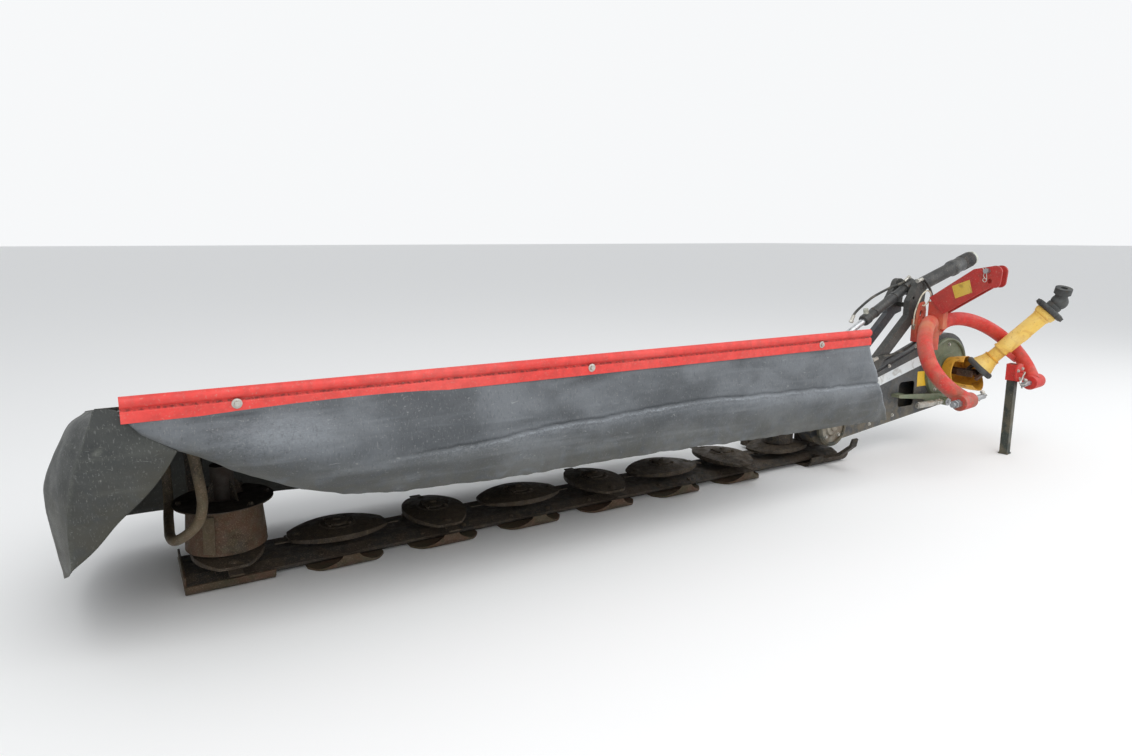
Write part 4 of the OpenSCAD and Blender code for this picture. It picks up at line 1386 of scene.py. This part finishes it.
@dataclass
class GuardDetails:
    """The hoop of the guard, and the fasteners of its rail, its canopy and the hoop."""

    rail_face: float = 623.2
    rail_bolt_z: float = 758
    strip_y: float = -446
    strip_z: float = 566
    strip_middle: float = 1735
    strip_bolts: tuple[int, int, int] = (460, 3060, 260)
    hoop_radius: float = 0.0165
    hoop_slot: str = "dark_paint"
    hoop: Route = (
        (2974, -60, 620), (2974, -60, 480), (2974, -60, 350), (2976, -36, 292), (2982, 20, 262),
        (2986, 110, 252),
        (2988, 200, 250), (2978, 284, 262), (2944, 334, 294), (2910, 350, 334), (2895, 350, 384),
        (2895, 350, 430),
        (2904, 350, 520), (2916, 350, 620), (2918, 350, 706))
    clamps: Route = ((2916, 350, 688), (2974, -60, 606))
    clamp_half: float = 26

    def make(self) -> None:
        """Build them all."""
        bolts = Solid("rail_bolts")
        for x in RAIL_BOLTS:
            bolts.bolt(bar(x, self.rail_face, self.rail_bolt_z), AHEAD, across=0.0155, washer=0.0145, roll=x)
        bolts.piece("cutterbar_unit", ZINC)
        strip = Solid("canopy_rear_strip")
        slope = Matrix.Rotation(GUARD_SLOPE, 4, "X")
        strip.block(bar(self.strip_middle, self.strip_y, self.strip_z), (2.66, 0.028, 0.004), slope, 0.001)
        for x in range(*self.strip_bolts):
            strip.bolt(bar(x, self.strip_y, self.strip_z + 2), Vector((0, -0.2, 1)), across=0.013,
                       washer=0.012, roll=x)
        strip.piece("cutterbar_unit", BROWN_STEEL)
        hoop = Solid("outer_guard_hoop")
        hoop.tube(smooth_path([bar(*p) for p in self.hoop], 0.012), self.hoop_radius, 20)
        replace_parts(hoop.piece("cutterbar_unit", BROWN_STEEL, 60), "outer_hoop")
        clamps = Solid("hoop_clamps")
        for x, y, z in self.clamps:
            clamps.block(bar(x, y, z), (self.clamp_half / 500, self.clamp_half / 500, 0.018), None, 0.003)
            clamps.bolt(bar(x + self.clamp_half, y, z), OUTWARD, across=0.017, washer=0.012)
        clamps.piece("cutterbar_unit", BROWN_STEEL)


@dataclass
class CutterbarDetails:
    """Bolts of the cutterbar, the discs, the knives, and the drums' fittings."""

    rear_bolts: int = 27
    rear_start: float = -300
    rear_step: float = 120
    front_bolt: float = 90
    knife_at: float = 0.152
    hub_bolts: float = 54
    fins: int = 4
    flange_bolts: float = 148
    seams: Point = (1.05, 3.4, 5.3)
    seam_half: float = 0.021

    def make(self) -> None:
        """Build them all."""
        rows = Solid("cutterbar_bolts")
        for i in range(self.rear_bolts):
            spot = bar(self.rear_start + i * self.rear_step, -96, 54)
            rows.bolt(spot, UP, across=0.016, washer=0.011, roll=i)
        for i in range(1, DISC_COUNT - 1):
            for dx in (-self.front_bolt, self.front_bolt):
                spot = bar(i * DISC_PITCH + dx, 106, 41)
                rows.bolt(spot, Vector((0, 0.35, 0.94)), across=0.017, washer=0.012, roll=i)
        rows.piece("cutterbar_unit", DISC_RUST)
        for i in range(DISC_COUNT):
            self.rotor(i)
        self.end_drum((DISC_COUNT - 1) * DISC_PITCH)

    def rotor(self, i: int) -> None:
        """Build one disc's hub cap, which the drums lack, and its knife bolts.

        Args:
            i: The disc's place along the cutterbar, from 0.
        """
        x = i * DISC_PITCH
        lie = OUTWARD if i % 2 == 0 else AHEAD
        fit = Solid(f"disc_{i + 1}_fittings")
        if i not in (0, DISC_COUNT - 1):
            fit.spun(bar(x, 0, 119), UP, [(0, 0), (0.046, 0), (0.046, 0.006), (0.040, 0.010), (0.016, 0.012),
                                          (0.012, 0.018), (0, 0.019)], 32)
            for k, a in enumerate(turns(4, 0.5)):
                spot = bar(x + self.hub_bolts * math.cos(a), self.hub_bolts * math.sin(a), 119.4)
                fit.bolt(spot, UP, across=0.013, washer=0.009, roll=k)
        for away in (-self.knife_at, self.knife_at):
            fit.spun(bar(x, 0, 95) + lie * away, UP,
                     [(0, 0), (0.021, 0), (0.021, 0.003), (0.017, 0.008), (0.008, 0.0115), (0, 0.012)], 24)
            fit.bolt(bar(x, 0, 81) + lie * away, -UP, across=0.021, washer=0.014, roll=i)
        fit.piece(f"rotor_{i + 1}", DISC_RUST)

    def end_drum(self, x: float) -> None:
        """Build the end drum's seam plates, its flange bolts and the fins on its neck.

        Args:
            x: Where its axis lies along the cutterbar, in millimetres.
        """
        trim = Solid("end_drum_fins")
        for a in turns(self.fins):
            out, side = spoke(a + 0.5)
            corners = [bar(x, 0, z) + out * r
                       for r, z in ((0.034, 289), (0.084, 289), (0.070, 330), (0.034, 372))]
            trim.plate(corners, side * 0.005, 0.001)
        for k, a in enumerate(turns(6)):
            spot = bar(x + self.flange_bolts * math.cos(a), self.flange_bolts * math.sin(a), 290)
            trim.bolt(spot, UP, across=0.017, washer=0.012, roll=k)
        trim.piece(f"rotor_{DISC_COUNT}", DARK_STEEL)
        seam = Solid("end_drum_seam")
        for a in self.seams:
            out, side = spoke(a)
            side *= self.seam_half
            low, high = bar(x, 0, 130) + out * 0.1393, bar(x, 0, 262) + out * 0.1287
            seam.plate([low - side, low + side, high + side, high - side], out * 0.0035, 0.0008)
        seam.piece(f"rotor_{DISC_COUNT}", BROWN_STEEL)


# Carrier, cylinder and headstock details


@dataclass
class HousingDetails:
    """Blank labels and screws of the belt housing, its pivot cover's rim, and the latch's caps and nuts."""

    face: float = 156.0
    strip: Rows = ((-592, 438), (-978, 541), (-1002, 483), (-612, 389))
    label: Rows = ((-966, 444), (-1078, 442), (-1080, 352), (-968, 354))
    screws: Rows = ((-300, 322), (-470, 400), (-700, 500), (-930, 598), (-330, 150), (-560, 178),
                    (-760, 206),
                    (-1000, 236))
    drive_screws: float = 150
    pivot: Point = (-190, 220)
    pivot_screws: float = 70
    rim: Rows = (
        (0.0845, 0.013), (0.0855, 0.0215), (0.096, 0.0225), (0.1065, 0.0165), (0.1085, 0.002),
        (0.1045, 0.002),
        (0.1045, 0.0135), (0.094, 0.0203), (0.088, 0.0125), (0.0845, 0.013))
    latch_z: float = 262
    roller_x: float = -1140
    nuts: Point = (-1090, -1066, -900)

    def blank(self, name: str, corners: Rows, finish: Finish) -> None:
        """Build a thin blank label on the housing's face.

        Args:
            name: The piece's name.
            corners: Its corners, as outward place and height.
            finish: Its finish.
        """
        made = Solid(name)
        made.plate([bar(x, self.face + 0.05, z) for x, z in corners], AHEAD * 0.0008, 0.0003)
        made.piece("frame", finish)

    def make(self) -> None:
        """Build them all."""
        self.blank("housing_blank_strip", self.strip, WHITE_STRIP)
        self.blank("housing_blank_label", self.label, YELLOW_LABEL)
        screws = Solid("housing_screws")
        for x, z in self.screws:
            screws.bolt(bar(x, self.face, z), AHEAD, across=0.013, washer=0.011, roll=x)
        pivot_x, pivot_z = self.pivot
        for k, a in enumerate(turns(5, 0.3)):
            spot = bar(JOINT_X + self.drive_screws * math.cos(a), 168,
                       JOINT_Z + self.drive_screws * math.sin(a))
            screws.bolt(spot, AHEAD, across=0.014, washer=0.011, roll=k)
        for k, a in enumerate(turns(4, 0.5)):
            spot = bar(pivot_x + self.pivot_screws * math.cos(a), 208.5,
                       pivot_z + self.pivot_screws * math.sin(a))
            screws.bolt(spot, AHEAD, across=0.015, washer=0.011, roll=k)
        screws.piece("frame", ZINC)
        rim = Solid("pivot_cover_rim")
        rim.spun(bar(pivot_x, 196.3, pivot_z), AHEAD, self.rim, 72)
        rim.piece("frame", DARK_STAND)
        roller = Solid("latch_roller_caps")
        for y, n in ((251, AHEAD), (205, -AHEAD)):
            roller.spun(bar(self.roller_x, y, self.latch_z), n,
                        [(0, 0), (0.024, 0), (0.024, 0.002), (0.020, 0.004), (0.010, 0.004), (0.010, 0.010),
                         (0, 0.010)], 28)
        roller.piece("frame", PIN_STEEL)
        nuts = Solid("latch_rod_nuts")
        for x in self.nuts:
            nuts.cylinder(bar(x, 228, self.latch_z), OUTWARD, 0.019, 0.014, sides=6, bevel=0.001)
        nuts.piece("frame", ZINC)


@dataclass
class CylinderDetails:
    """The bands and the oil port of the lift cylinder."""

    # Distances from the trunnion along the cylinder
    bands: Point = (0.12, 0.30)
    port_at: float = 0.385
    port_way: Point = (0.2, 0, 1)

    def make(self) -> None:
        """Build them."""
        trunnion = bar(*TRUNNION)
        along = (bar(*LUG) - trunnion).normalized()
        bands = Solid("cylinder_bands")
        for d in self.bands:
            bands.spun(trunnion + along * d, along,
                       [(0.027, 0), (0.0305, 0), (0.0305, 0.016), (0.027, 0.016)], 40)
        bands.piece("barrel", CYLINDER_BLACK)
        port = Solid("cylinder_port")
        foot, way = trunnion + along * self.port_at + UP * 0.020, Vector(self.port_way)
        port.cylinder(foot, way, 0.014, 0.030, sides=20, bevel=0.001)
        port.cylinder(foot + Vector((0.005, 0, 0.026)), way, 0.0135, 0.014, sides=6, bevel=0.001)
        port.piece("barrel", CREAM_CAP)


@dataclass
class HitchDetails:
    """Linch pins, spring clip and blank label of the headstock and its mast."""

    # How far the linch pins lie from each boss's start
    near_pin_in: float = 128
    far_pin_in: float = 68
    pin_top: float = 434
    clip_shape: Rows = (
        (-0.35, 0), (0.0, 0), (0.45, 0), (0.72, 0.02), (0.9, 0.10), (0.93, 0.24), (0.80, 0.33), (0.66, 0.27),
        (0.64, 0.13), (0.74, 0.05), (0.60, 0.17), (0.42, 0.24), (0.22, 0.17), (0.05, 0.12), (-0.12, 0.17),
        (-0.24, 0.26))
    clip_size: float = 0.062
    label_face: float = 40.1
    label: Rows = ((388, 962), (478, 1000), (498, 934), (412, 896))

    def clip(self, name: str, at: Vector, along: Vector, out: Vector) -> None:
        """Build a sprung hairpin clip through a pin's end.

        Args:
            name: The piece's name.
            at: Where the straight leg passes the pin.
            along: The way the clip lies.
            out: The way its bow stands.
        """
        a, o, size = along.normalized(), out.normalized(), self.clip_size
        depth = a.cross(o)
        points = [at + a * x * size + o * y * size + depth * (0.03 * size * math.sin(i * 0.9))
                  for i, (x, y) in enumerate(self.clip_shape)]
        wire = Solid(name)
        wire.tube(smooth_path(points, 0.003), size * 0.028, 10)
        wire.piece("frame", ZINC)

    def linch_pin(self, name: str, at: Vector, ring: Vector) -> None:
        """Build a linch pin: a short pin, its head and its sprung ring.

        Args:
            name: The piece's name.
            at: Where the pin leaves the stub.
            ring: The way its ring lies from the head.
        """
        n, r = (UP + HEAD_FORWARD * 0.3).normalized(), ring.normalized()
        made = Solid(name)
        made.cylinder(at - n * 0.040, n, 0.0050, 0.052, sides=16, bevel=0.001)
        made.spun(at + n * 0.004, n, [(0, 0), (0.0095, 0), (0.0105, 0.003), (0.0105, 0.010), (0.008, 0.013),
                                      (0, 0.013)],
                  24)
        side = n.cross(r)
        slant = r * 0.020 - n * 0.0108
        loop = [at + n * 0.010 + slant * (1 - math.cos(a)) + side * 0.017 * math.sin(a) for a in turns(40)]
        made.tube(loop, 0.0022, 8, closed=True)
        made.piece("frame", ZINC)

    def make(self) -> None:
        """Build them all."""
        self.linch_pin("near_linch_pin", head(BOSS_START - self.near_pin_in, PIN_Y, self.pin_top),
                       HEAD_ACROSS * -1)
        self.linch_pin("far_linch_pin", head(self.far_pin_in - BOSS_START, PIN_Y, self.pin_top), HEAD_ACROSS)
        self.clip("top_link_clip", head(62, 566, 1050), Vector((0, 0.2, -1)), HEAD_FORWARD * -1)
        label = Solid("mast_blank_label")
        label.plate([head(self.label_face, y, z) for y, z in self.label], HEAD_ACROSS * 0.0008, 0.0003)
        label.piece("frame", OLD_LABEL)


@dataclass
class StandDetails:
    """The stand's pin, plate bolts and foot."""

    pin_z: float = 476
    bolt_circle: float = 34
    handle: Route = ((0, 0.014, 0.006), (0, 0.024, 0.006), (0.012, 0.027, 0.002), (0.03, 0.026, -0.012),
                     (0.04, 0.026, -0.028))
    foot: Point = (0.052, 0.052, 0.008)

    def make(self) -> None:
        """Build them."""
        pin = Solid("stand_pin")
        at = head(STAND_X, 640, self.pin_z)
        for k, a in enumerate(turns(3)):
            x, z = self.bolt_circle * math.cos(a + 0.4), self.bolt_circle * math.sin(a + 0.4)
            pin.bolt(head(STAND_X + x, 637.6, self.pin_z + z), HEAD_FORWARD, across=0.014, washer=0.010,
                     roll=k)
        pin.tube([at + HEAD_ACROSS * x + HEAD_FORWARD * y + UP * z for x, y, z in self.handle], 0.0035, 10)
        pin.piece("frame", ZINC)
        foot = Solid("stand_foot")
        foot.block(head(STAND_X, 602, 4), self.foot, Matrix.Rotation(HEAD_TURN, 4, "Z"), 0.002)
        foot.piece("stand", DARK_STAND)


@dataclass
class DrivelineDetails:
    """Collars, seams and rounded rims of the driveline's guard."""

    lower_ring: Rows = (
        (0.060, 0.002), (0.066, 0), (0.074, 0.001), (0.080, 0.007), (0.082, 0.016), (0.080, 0.025),
        (0.074, 0.031),
        (0.066, 0.033), (0.060, 0.031), (0.060, 0.002))
    cone: Rows = (
        (0.0595, 0), (0.0655, 0.004), (0.064, 0.012), (0.0545, 0.036), (0.0465, 0.058), (0.0445, 0.073),
        (0.0383, 0.073), (0.0383, 0.056), (0.058, 0.008), (0.0595, 0))
    inner_collar: Rows = (
        (0.0382, 0), (0.0455, 0), (0.0475, 0.002), (0.0460, 0.006), (0.0415, 0.0085), (0.0382, 0.0085))
    outer_collar: Rows = ((0.0452, 0), (0.056, 0.010), (0.060, 0.030), (0.057, 0.0375), (0.0452, 0.0375))
    # Place along the shaft and radius of each band, and turn and place of each seam
    bands: Rows = ((0.1905, 0.0475), (0.455, 0.0472))
    tube_radius: float = 0.0452
    seams: Rows = ((0.6, 0.33), (2.7, 0.345), (4.8, 0.33))
    upper_at: float = 0.500
    upper_radius: float = 0.084
    rim_radius: float = 0.0155
    ribs: int = 24

    def turned(self, made: Solid, start: float, outline: Rows, sides: int) -> None:
        """Add a turned shape about the shaft.

        Args:
            made: The mesh under way.
            start: Where it starts along the shaft.
            outline: Radius and height of each point.
            sides: Number of steps round the shaft.
        """
        made.spun(JOINT + SHAFT * start, SHAFT, outline, sides)

    def upper_ring(self) -> None:
        """Build the thick rounded guard ring at the tractor's end, with a ribbed rim."""
        made = Solid("upper_guard_ring")
        r, wide = self.rim_radius, self.upper_radius
        rim = [(wide - r + r * math.cos(a), 0.016 + r * math.sin(a))
               for a in [math.pi * (k / 12 - 0.5) for k in range(13)]]
        self.turned(made, self.upper_at, [(0.001, 0.003), (wide - 0.03, 0.0005), *rim, (wide - 0.03, 0.0315),
                                          (0.001, 0.029), (0.001, 0.003)], 64)
        for a in turns(self.ribs):
            place = aim(JOINT + SHAFT * (self.upper_at + 0.016), SHAFT, a)
            rib = place @ Vector((wide - 0.0005, 0, 0))
            made.block(rib, (0.003, 0.005, 0.022), place.to_3x3().to_4x4(), 0.0008)
        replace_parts(made.piece("driveline_sleeve", BLACK_RING), "upper_ring")

    def make(self) -> None:
        """Build them all."""
        lower = Solid("lower_guard_ring")
        self.turned(lower, 0.030, self.lower_ring, 64)
        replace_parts(lower.piece("driveline", BLACK_RING), "lower_ring")
        cone = Solid("lower_guard_cone")
        self.turned(cone, 0.055, self.cone, 64)
        cone.piece("driveline", YELLOW_GUARD)
        self.upper_ring()
        collar = Solid("inner_guard_collar")
        self.turned(collar, 0.129, self.inner_collar, 48)
        collar.piece("driveline", YELLOW_BELL)
        bands = Solid("outer_guard_collars")
        inner = self.tube_radius
        for s, wide in self.bands:
            self.turned(bands, s, [(inner, 0), (wide, 0), (wide + 0.0012, 0.004), (wide, 0.014),
                                   (inner, 0.015)], 48)
        self.turned(bands, 0.462, self.outer_collar, 48)
        for a, s in self.seams:
            place = aim(JOINT + SHAFT * s, SHAFT, a)
            bands.block(place @ Vector((0.0455, 0, 0)), (0.003, 0.014, 0.05), place.to_3x3().to_4x4(), 0.001)
        bands.piece("driveline_sleeve", YELLOW_GUARD)


# Forms nearer to the real ones than the solids


@dataclass
class HeadstockForm:
    """The headstock's thinner bent legs, its junction, lug and foot, in place of the plain solids."""

    leg_radius: float = 0.038
    leg_curve: Route = ((40, 292, 720), (135, 354, 874), (736, 470, 620), (412.5, PIN_Y, 426))
    leg_steps: int = 48
    boss_long: float = 0.126
    junction_y: float = 272
    lug_y: float = 232
    lug_outline: Rows = ((-14, 660), (66, 650), (80, 700), (76, 800), (54, 858), (6, 866), (-14, 820))
    lug_holes: tuple[tuple[float, float, float], ...] = ((38, 802, 0.019), (12, 772, 0.009))

    def leg(self, made: Solid, side: int) -> None:
        """Add one bent leg with its boss.

        Args:
            made: The mesh under way.
            side: 1 for the near leg and -1 for the far one.
        """
        a, b, c, d = (Vector(p) for p in self.leg_curve)
        line = []
        for k in range(self.leg_steps + 1):
            u = k / self.leg_steps
            q = a * (1 - u) ** 3 + b * 3 * u * (1 - u) ** 2 + c * 3 * u * u * (1 - u) + d * u ** 3
            line.append(head(side * q.x, q.y, q.z))
        made.tube(line, self.leg_radius, 40)
        long = self.boss_long
        made.spun(head(side * BOSS_START, PIN_Y, PIN_Z), HEAD_ACROSS * side, [
            (0.0130, 0.001), (0.0375, 0), (0.0395, 0.002), (0.0395, long - 0.002), (0.0375, long),
            (0.0130, long - 0.001),
            (0.0130, 0.001)], 48)

    def make(self) -> None:
        """Build both pieces."""
        turn = Matrix.Rotation(HEAD_TURN, 4, "Z")
        near = Solid("headstock_form")
        self.leg(near, 1)
        near.cylinder(head(0, self.junction_y, 600), UP, 0.047, 0.150, sides=48, bevel=0.002)
        near.cylinder(head(-74, self.junction_y, 706), HEAD_ACROSS, 0.0385, 0.148, sides=48, bevel=0.003)
        near.block(head(0, 307, 795), (0.055, 0.090, 0.150), turn, 0.003)
        near.block(bar(-842, 221.4, 704), (0.064, 0.050, 0.128), None, 0.003)
        near.sheet_with_holes([head(x, self.lug_y, z) for x, z in self.lug_outline],
                              [(head(x, self.lug_y, z), r) for x, z, r in self.lug_holes],
                              HEAD_FORWARD * -0.012)
        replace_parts(near.piece("frame", RED_LEG), "headstock")
        far = Solid("far_leg_form")
        self.leg(far, -1)
        far.block(head(-428, 602, 479), (0.142, 0.020, 0.054), turn, 0.002)
        swing = Vector((0, SHAFT.z, -SHAFT.y)).normalized()
        reach = swing.cross(SHAFT)
        axes = Matrix((swing, reach, SHAFT)).transposed().to_4x4()
        far.block(JOINT + SHAFT * 0.205 + swing * 0.0513 - reach * 0.065, (0.012, 0.162, 0.030), axes, 0.002)
        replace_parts(far.piece("frame", RED), "far_leg")


@dataclass
class LiftForm:
    """The short lift cylinder, its rod, and the thick ribbed tube that slopes up behind its trunnion."""

    barrel: Rows = (
        (0, -0.036), (0.036, -0.036), (0.040, -0.032), (0.040, 0.030), (0.036, 0.036), (0.028, 0.038),
        (0.028, 0.362),
        (0.0315, 0.366), (0.0325, 0.372), (0.0325, 0.400), (0.030, 0.408), (0.0183, 0.410), (0.0183, -0.024),
        (0, -0.024))
    # Where each half of the trunnion's pin starts forward, and its length
    stubs: Rows = ((23, 0.055), (132, 0.0632))
    tube_foot: tuple[float, float, float] = (-906, 105, 921.5)
    tube_tip: tuple[float, float, float] = (-1460, 105, 1094.3)
    tube_rings: int = 7
    # The tube's steps before its rings, as radius and distance from its tip
    tube_collar: Rows = (
        (0.0395, 0.205), (0.0425, 0.200), (0.0468, 0.194), (0.0475, 0.186), (0.0475, 0.160), (0.0450, 0.156),
        (0.0440, 0.150))
    lid: Rows = (
        (0, 0), (0.0420, 0), (0.0435, 0.003), (0.0435, 0.015), (0.0410, 0.020), (0.0360, 0.0215),
        (0.0340, 0.0195),
        (0.0120, 0.0195), (0.0090, 0.023), (0, 0.0235))
    eye: Rows = ((0, 0), (0.026, 0), (0.028, 0.002), (0.028, 0.026), (0.026, 0.028), (0, 0.028))
    rod_radius: float = 0.0175
    rod_start: float = 0.358
    eye_gap: float = 0.020

    def make(self) -> None:
        """Build the barrel, the tube with its lid, and the rod."""
        start, end = bar(*TRUNNION), bar(*LUG)
        along = (end - start).normalized()
        barrel = Solid("lift_barrel_form")
        barrel.spun(start, along, self.barrel, 64)
        for y, length in self.stubs:
            barrel.cylinder(bar(TRUNNION[0], y, TRUNNION[2]), AHEAD, 0.0197, length, sides=40, bevel=0.001)
        foot, tip = bar(*self.tube_foot), bar(*self.tube_tip)
        way, long = (tip - foot).normalized(), (tip - foot).length
        rings = []
        for k in range(self.tube_rings):
            h = long - 0.092 + 0.012 * k
            rings += [(0.0440, h), (0.0468, h + 0.002), (0.0468, h + 0.007), (0.0440, h + 0.009)]
        collar = [(r, long - d) for r, d in self.tube_collar]
        barrel.spun(foot, way, [(0, -0.002), (0.036, 0), (0.0395, 0.004), *collar, *rings, (0.0440, long),
                                (0, long)], 72)
        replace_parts(barrel.piece("barrel", CYLINDER_BLACK), "lift_barrel")
        cap = Solid("tube_lid_form")
        cap.spun(tip + way * 0.0005, way, self.lid, 64)
        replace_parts(cap.piece("barrel", CREAM_CAP), "barrel_cap")
        rod = Solid("lift_rod_form")
        rod_long = (end - start).length - self.rod_start - self.eye_gap
        rod.cylinder(start + along * self.rod_start, along, self.rod_radius, rod_long, sides=48)
        rod.spun(end - AHEAD * 0.014, AHEAD, self.eye, 48)
        rod.cylinder(bar(LUG[0], 82, LUG[2]), AHEAD, 0.014, 0.023, sides=32)
        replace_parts(rod.piece("rod", CHROME), "lift_rod")


@dataclass
class BellForm:
    """The rounded guard round the input joint, with its window and its oblique mouth."""

    wall: float = 0.004
    outline: Rows = (
        (0.030, -0.157), (0.062, -0.157), (0.074, -0.150), (0.079, -0.130), (0.086, -0.095),
        (0.0925, -0.055),
        (0.096, -0.020), (0.0962, 0.020), (0.092, 0.070), (0.084, 0.110))
    mouth: Point = (-0.15, 0.874, 0.461)
    window: Point = (-38, 44)
    window_back: float = -0.082

    def make(self) -> None:
        """Build the bell."""
        made = Solid("input_bell_form")
        outline = smooth_path([Vector((r, h, 0)) for r, h in self.outline], 0.005)
        made.spun(JOINT, AHEAD, [(p.x, p.y) for p in outline], 120)
        bm = made.bm
        bmesh.ops.remove_doubles(bm, verts=bm.verts, dist=1e-6)
        mouth = Vector(self.mouth).normalized()
        bmesh.ops.bisect_plane(bm, geom=bm.verts[:] + bm.edges[:] + bm.faces[:],
                               plane_co=JOINT + mouth * 0.002,
                               plane_no=mouth, clear_outer=True, dist=1e-7)
        gone = []
        for face in bm.faces:
            c = face.calc_center_median() - JOINT
            turn = math.degrees(math.atan2(c.z, c.x))
            if self.window[0] < turn < self.window[1] and c.y > self.window_back:
                gone.append(face)
        bmesh.ops.delete(bm, geom=gone, context="FACES")
        obj = made.piece("frame", YELLOW_BELL, 60)
        thicken(obj, self.wall)
        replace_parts(obj, "input_bell")


@dataclass
class ShoeForm:
    """The low outer shoe under the end drum, turned up a little at its front."""

    start: float = 2662
    end: float = 2958
    profile: Rows = ((-230, 0), (116, 0), (140, 5), (158, 20), (164, 42), (157, 44), (150, 26), (134, 14),
                     (112, 9),
                     (-230, 9))

    def make(self) -> None:
        """Build the shoe."""
        made = Solid("outer_shoe_form")
        made.plate([bar(self.start, y, z) for y, z in self.profile],
                   OUTWARD * ((self.end - self.start) / 1000), 0.0008)
        made.block(bar(self.end - 4, -30, 34), (0.008, 0.300, 0.052), None, 0.002)
        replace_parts(made.piece("cutterbar_unit", SHOE_RUST), "outer_shoe")


# Studio


@dataclass
class Studio:
    """The floor, the soft light and the camera."""

    floor_half: float = 140
    floor_colour: Colour = (0.90, 0.90, 0.89)
    soft: Point = (0.95, 0.97, 1.0, 1)
    soft_strength: float = 0.72
    seen: Point = (0.93, 0.94, 0.95, 1)
    lit: Point = (0.3, 0, 0.4)
    eye: Point = (2.224, 2.747, 1.219)
    look: Point = (-0.508, -0.862)
    dip: float = 10.42
    lens: float = 24.18
    sensor: float = 36
    farthest: float = 500

    def make(self) -> None:
        """Build the studio."""
        floor = bmesh.new()
        bmesh.ops.create_grid(floor, x_segments=1, y_segments=1, size=self.floor_half)
        mesh = bpy.data.meshes.new("floor")
        floor.to_mesh(mesh)
        floor.free()
        mesh.materials.append(Graph("floor_pale").finish(self.floor_colour, 0.9))
        show("floor", mesh)
        self.sky()
        self.lamp("key_light", (1.5, 4.5, 6.0), 7.0, 285)
        self.lamp("fill_light", (-5.0, 3.0, 4.0), 6.0, 110)
        self.camera()

    def sky(self) -> None:
        """Light the scene evenly, with a pale backdrop where the camera, gloss and glass see it."""
        world = bpy.data.worlds.new("studio_sky")
        bpy.context.scene.world = world
        world.use_nodes = True
        tree = world.node_tree
        tree.nodes.clear()
        rays = tree.nodes.new("ShaderNodeLightPath")
        share = rays.outputs["Is Camera Ray"]
        for name in ("Is Glossy Ray", "Is Transmission Ray"):
            either = tree.nodes.new("ShaderNodeMath")
            either.operation = "MAXIMUM"
            tree.links.new(share, either.inputs[0])
            tree.links.new(rays.outputs[name], either.inputs[1])
            share = either.outputs[0]
        mix = tree.nodes.new("ShaderNodeMixShader")
        tree.links.new(share, mix.inputs[0])
        for place, (colour, strength) in enumerate(((self.soft, self.soft_strength), (self.seen, 1.0)), 1):
            light = tree.nodes.new("ShaderNodeBackground")
            light.inputs["Color"].default_value = colour
            light.inputs["Strength"].default_value = strength
            tree.links.new(light.outputs[0], mix.inputs[place])
        tree.links.new(mix.outputs[0], tree.nodes.new("ShaderNodeOutputWorld").inputs[0])

    def lamp(self, name: str, at: Point, size: float, power: float) -> None:
        """Add a large soft lamp that faces the mower.

        Args:
            name: The lamp's name.
            at: Where it hangs.
            size: Its width.
            power: Its power in watts.
        """
        data = bpy.data.lights.new(name, "AREA")
        data.size, data.energy = size, power
        obj = show(name, data)
        obj.location = at
        obj.rotation_euler = (Vector(self.lit) - Vector(at)).to_track_quat("-Z", "Y").to_euler()

    def camera(self) -> None:
        """Put the camera where the photograph was taken from."""
        data = bpy.data.cameras.new("camera")
        data.lens, data.sensor_width = self.lens, self.sensor
        data.clip_end = self.farthest
        obj = show("camera", data)
        down = math.radians(self.dip)
        plan = Vector((*self.look, 0)).normalized() * math.cos(down)
        obj.location = self.eye
        obj.rotation_euler = Vector((plan.x, plan.y, -math.sin(down))).to_track_quat("-Z", "Y").to_euler()
        bpy.context.scene.camera = obj
        bpy.context.scene.view_settings.view_transform = "Standard"


def dress_nodes() -> None:
    """Give the CAD nodes their finishes."""
    for name, finish in NODE_FINISHES.items():
        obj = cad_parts[name]
        obj.data.materials.clear()
        obj.data.materials.append(finish.material())
        LOG.info("%s has the finish %s", name, finish.name)


def main() -> None:
    """Build the studio, the cords, the curtains and the details in order."""
    logging.basicConfig(level=logging.INFO, format="%(message)s")
    Studio().make()
    PullCord().make()
    Hoses().make()
    dress_nodes()
    FrontCurtain("front_curtain_sheet", 330, 112, FRONT_CLOTH, Hold.HUNG, "front_curtain",
                 ("front_rail",)).make()
    OuterCurtain("outer_curtain_sheet", 130, 60, SIDE_CLOTH, Hold.HUNG, "outer_curtain",
                 ("front_rail", "canopy")).make()
    RearCurtain("rear_curtain_sheet", 200, 24, SIDE_CLOTH, Hold.HUNG, "rear_curtain", ("canopy",)).make()
    Canopy("canopy_sheet", 160, 50, SIDE_CLOTH, Hold.STRETCHED, "canopy", ("guard_frame",)).make()
    for part in (GuardDetails, CutterbarDetails, HousingDetails, CylinderDetails, HeadstockForm, LiftForm,
                 BellForm,
                 ShoeForm, HitchDetails, StandDetails, DrivelineDetails):
        part().make()


if __name__ == "__main__":
    main()
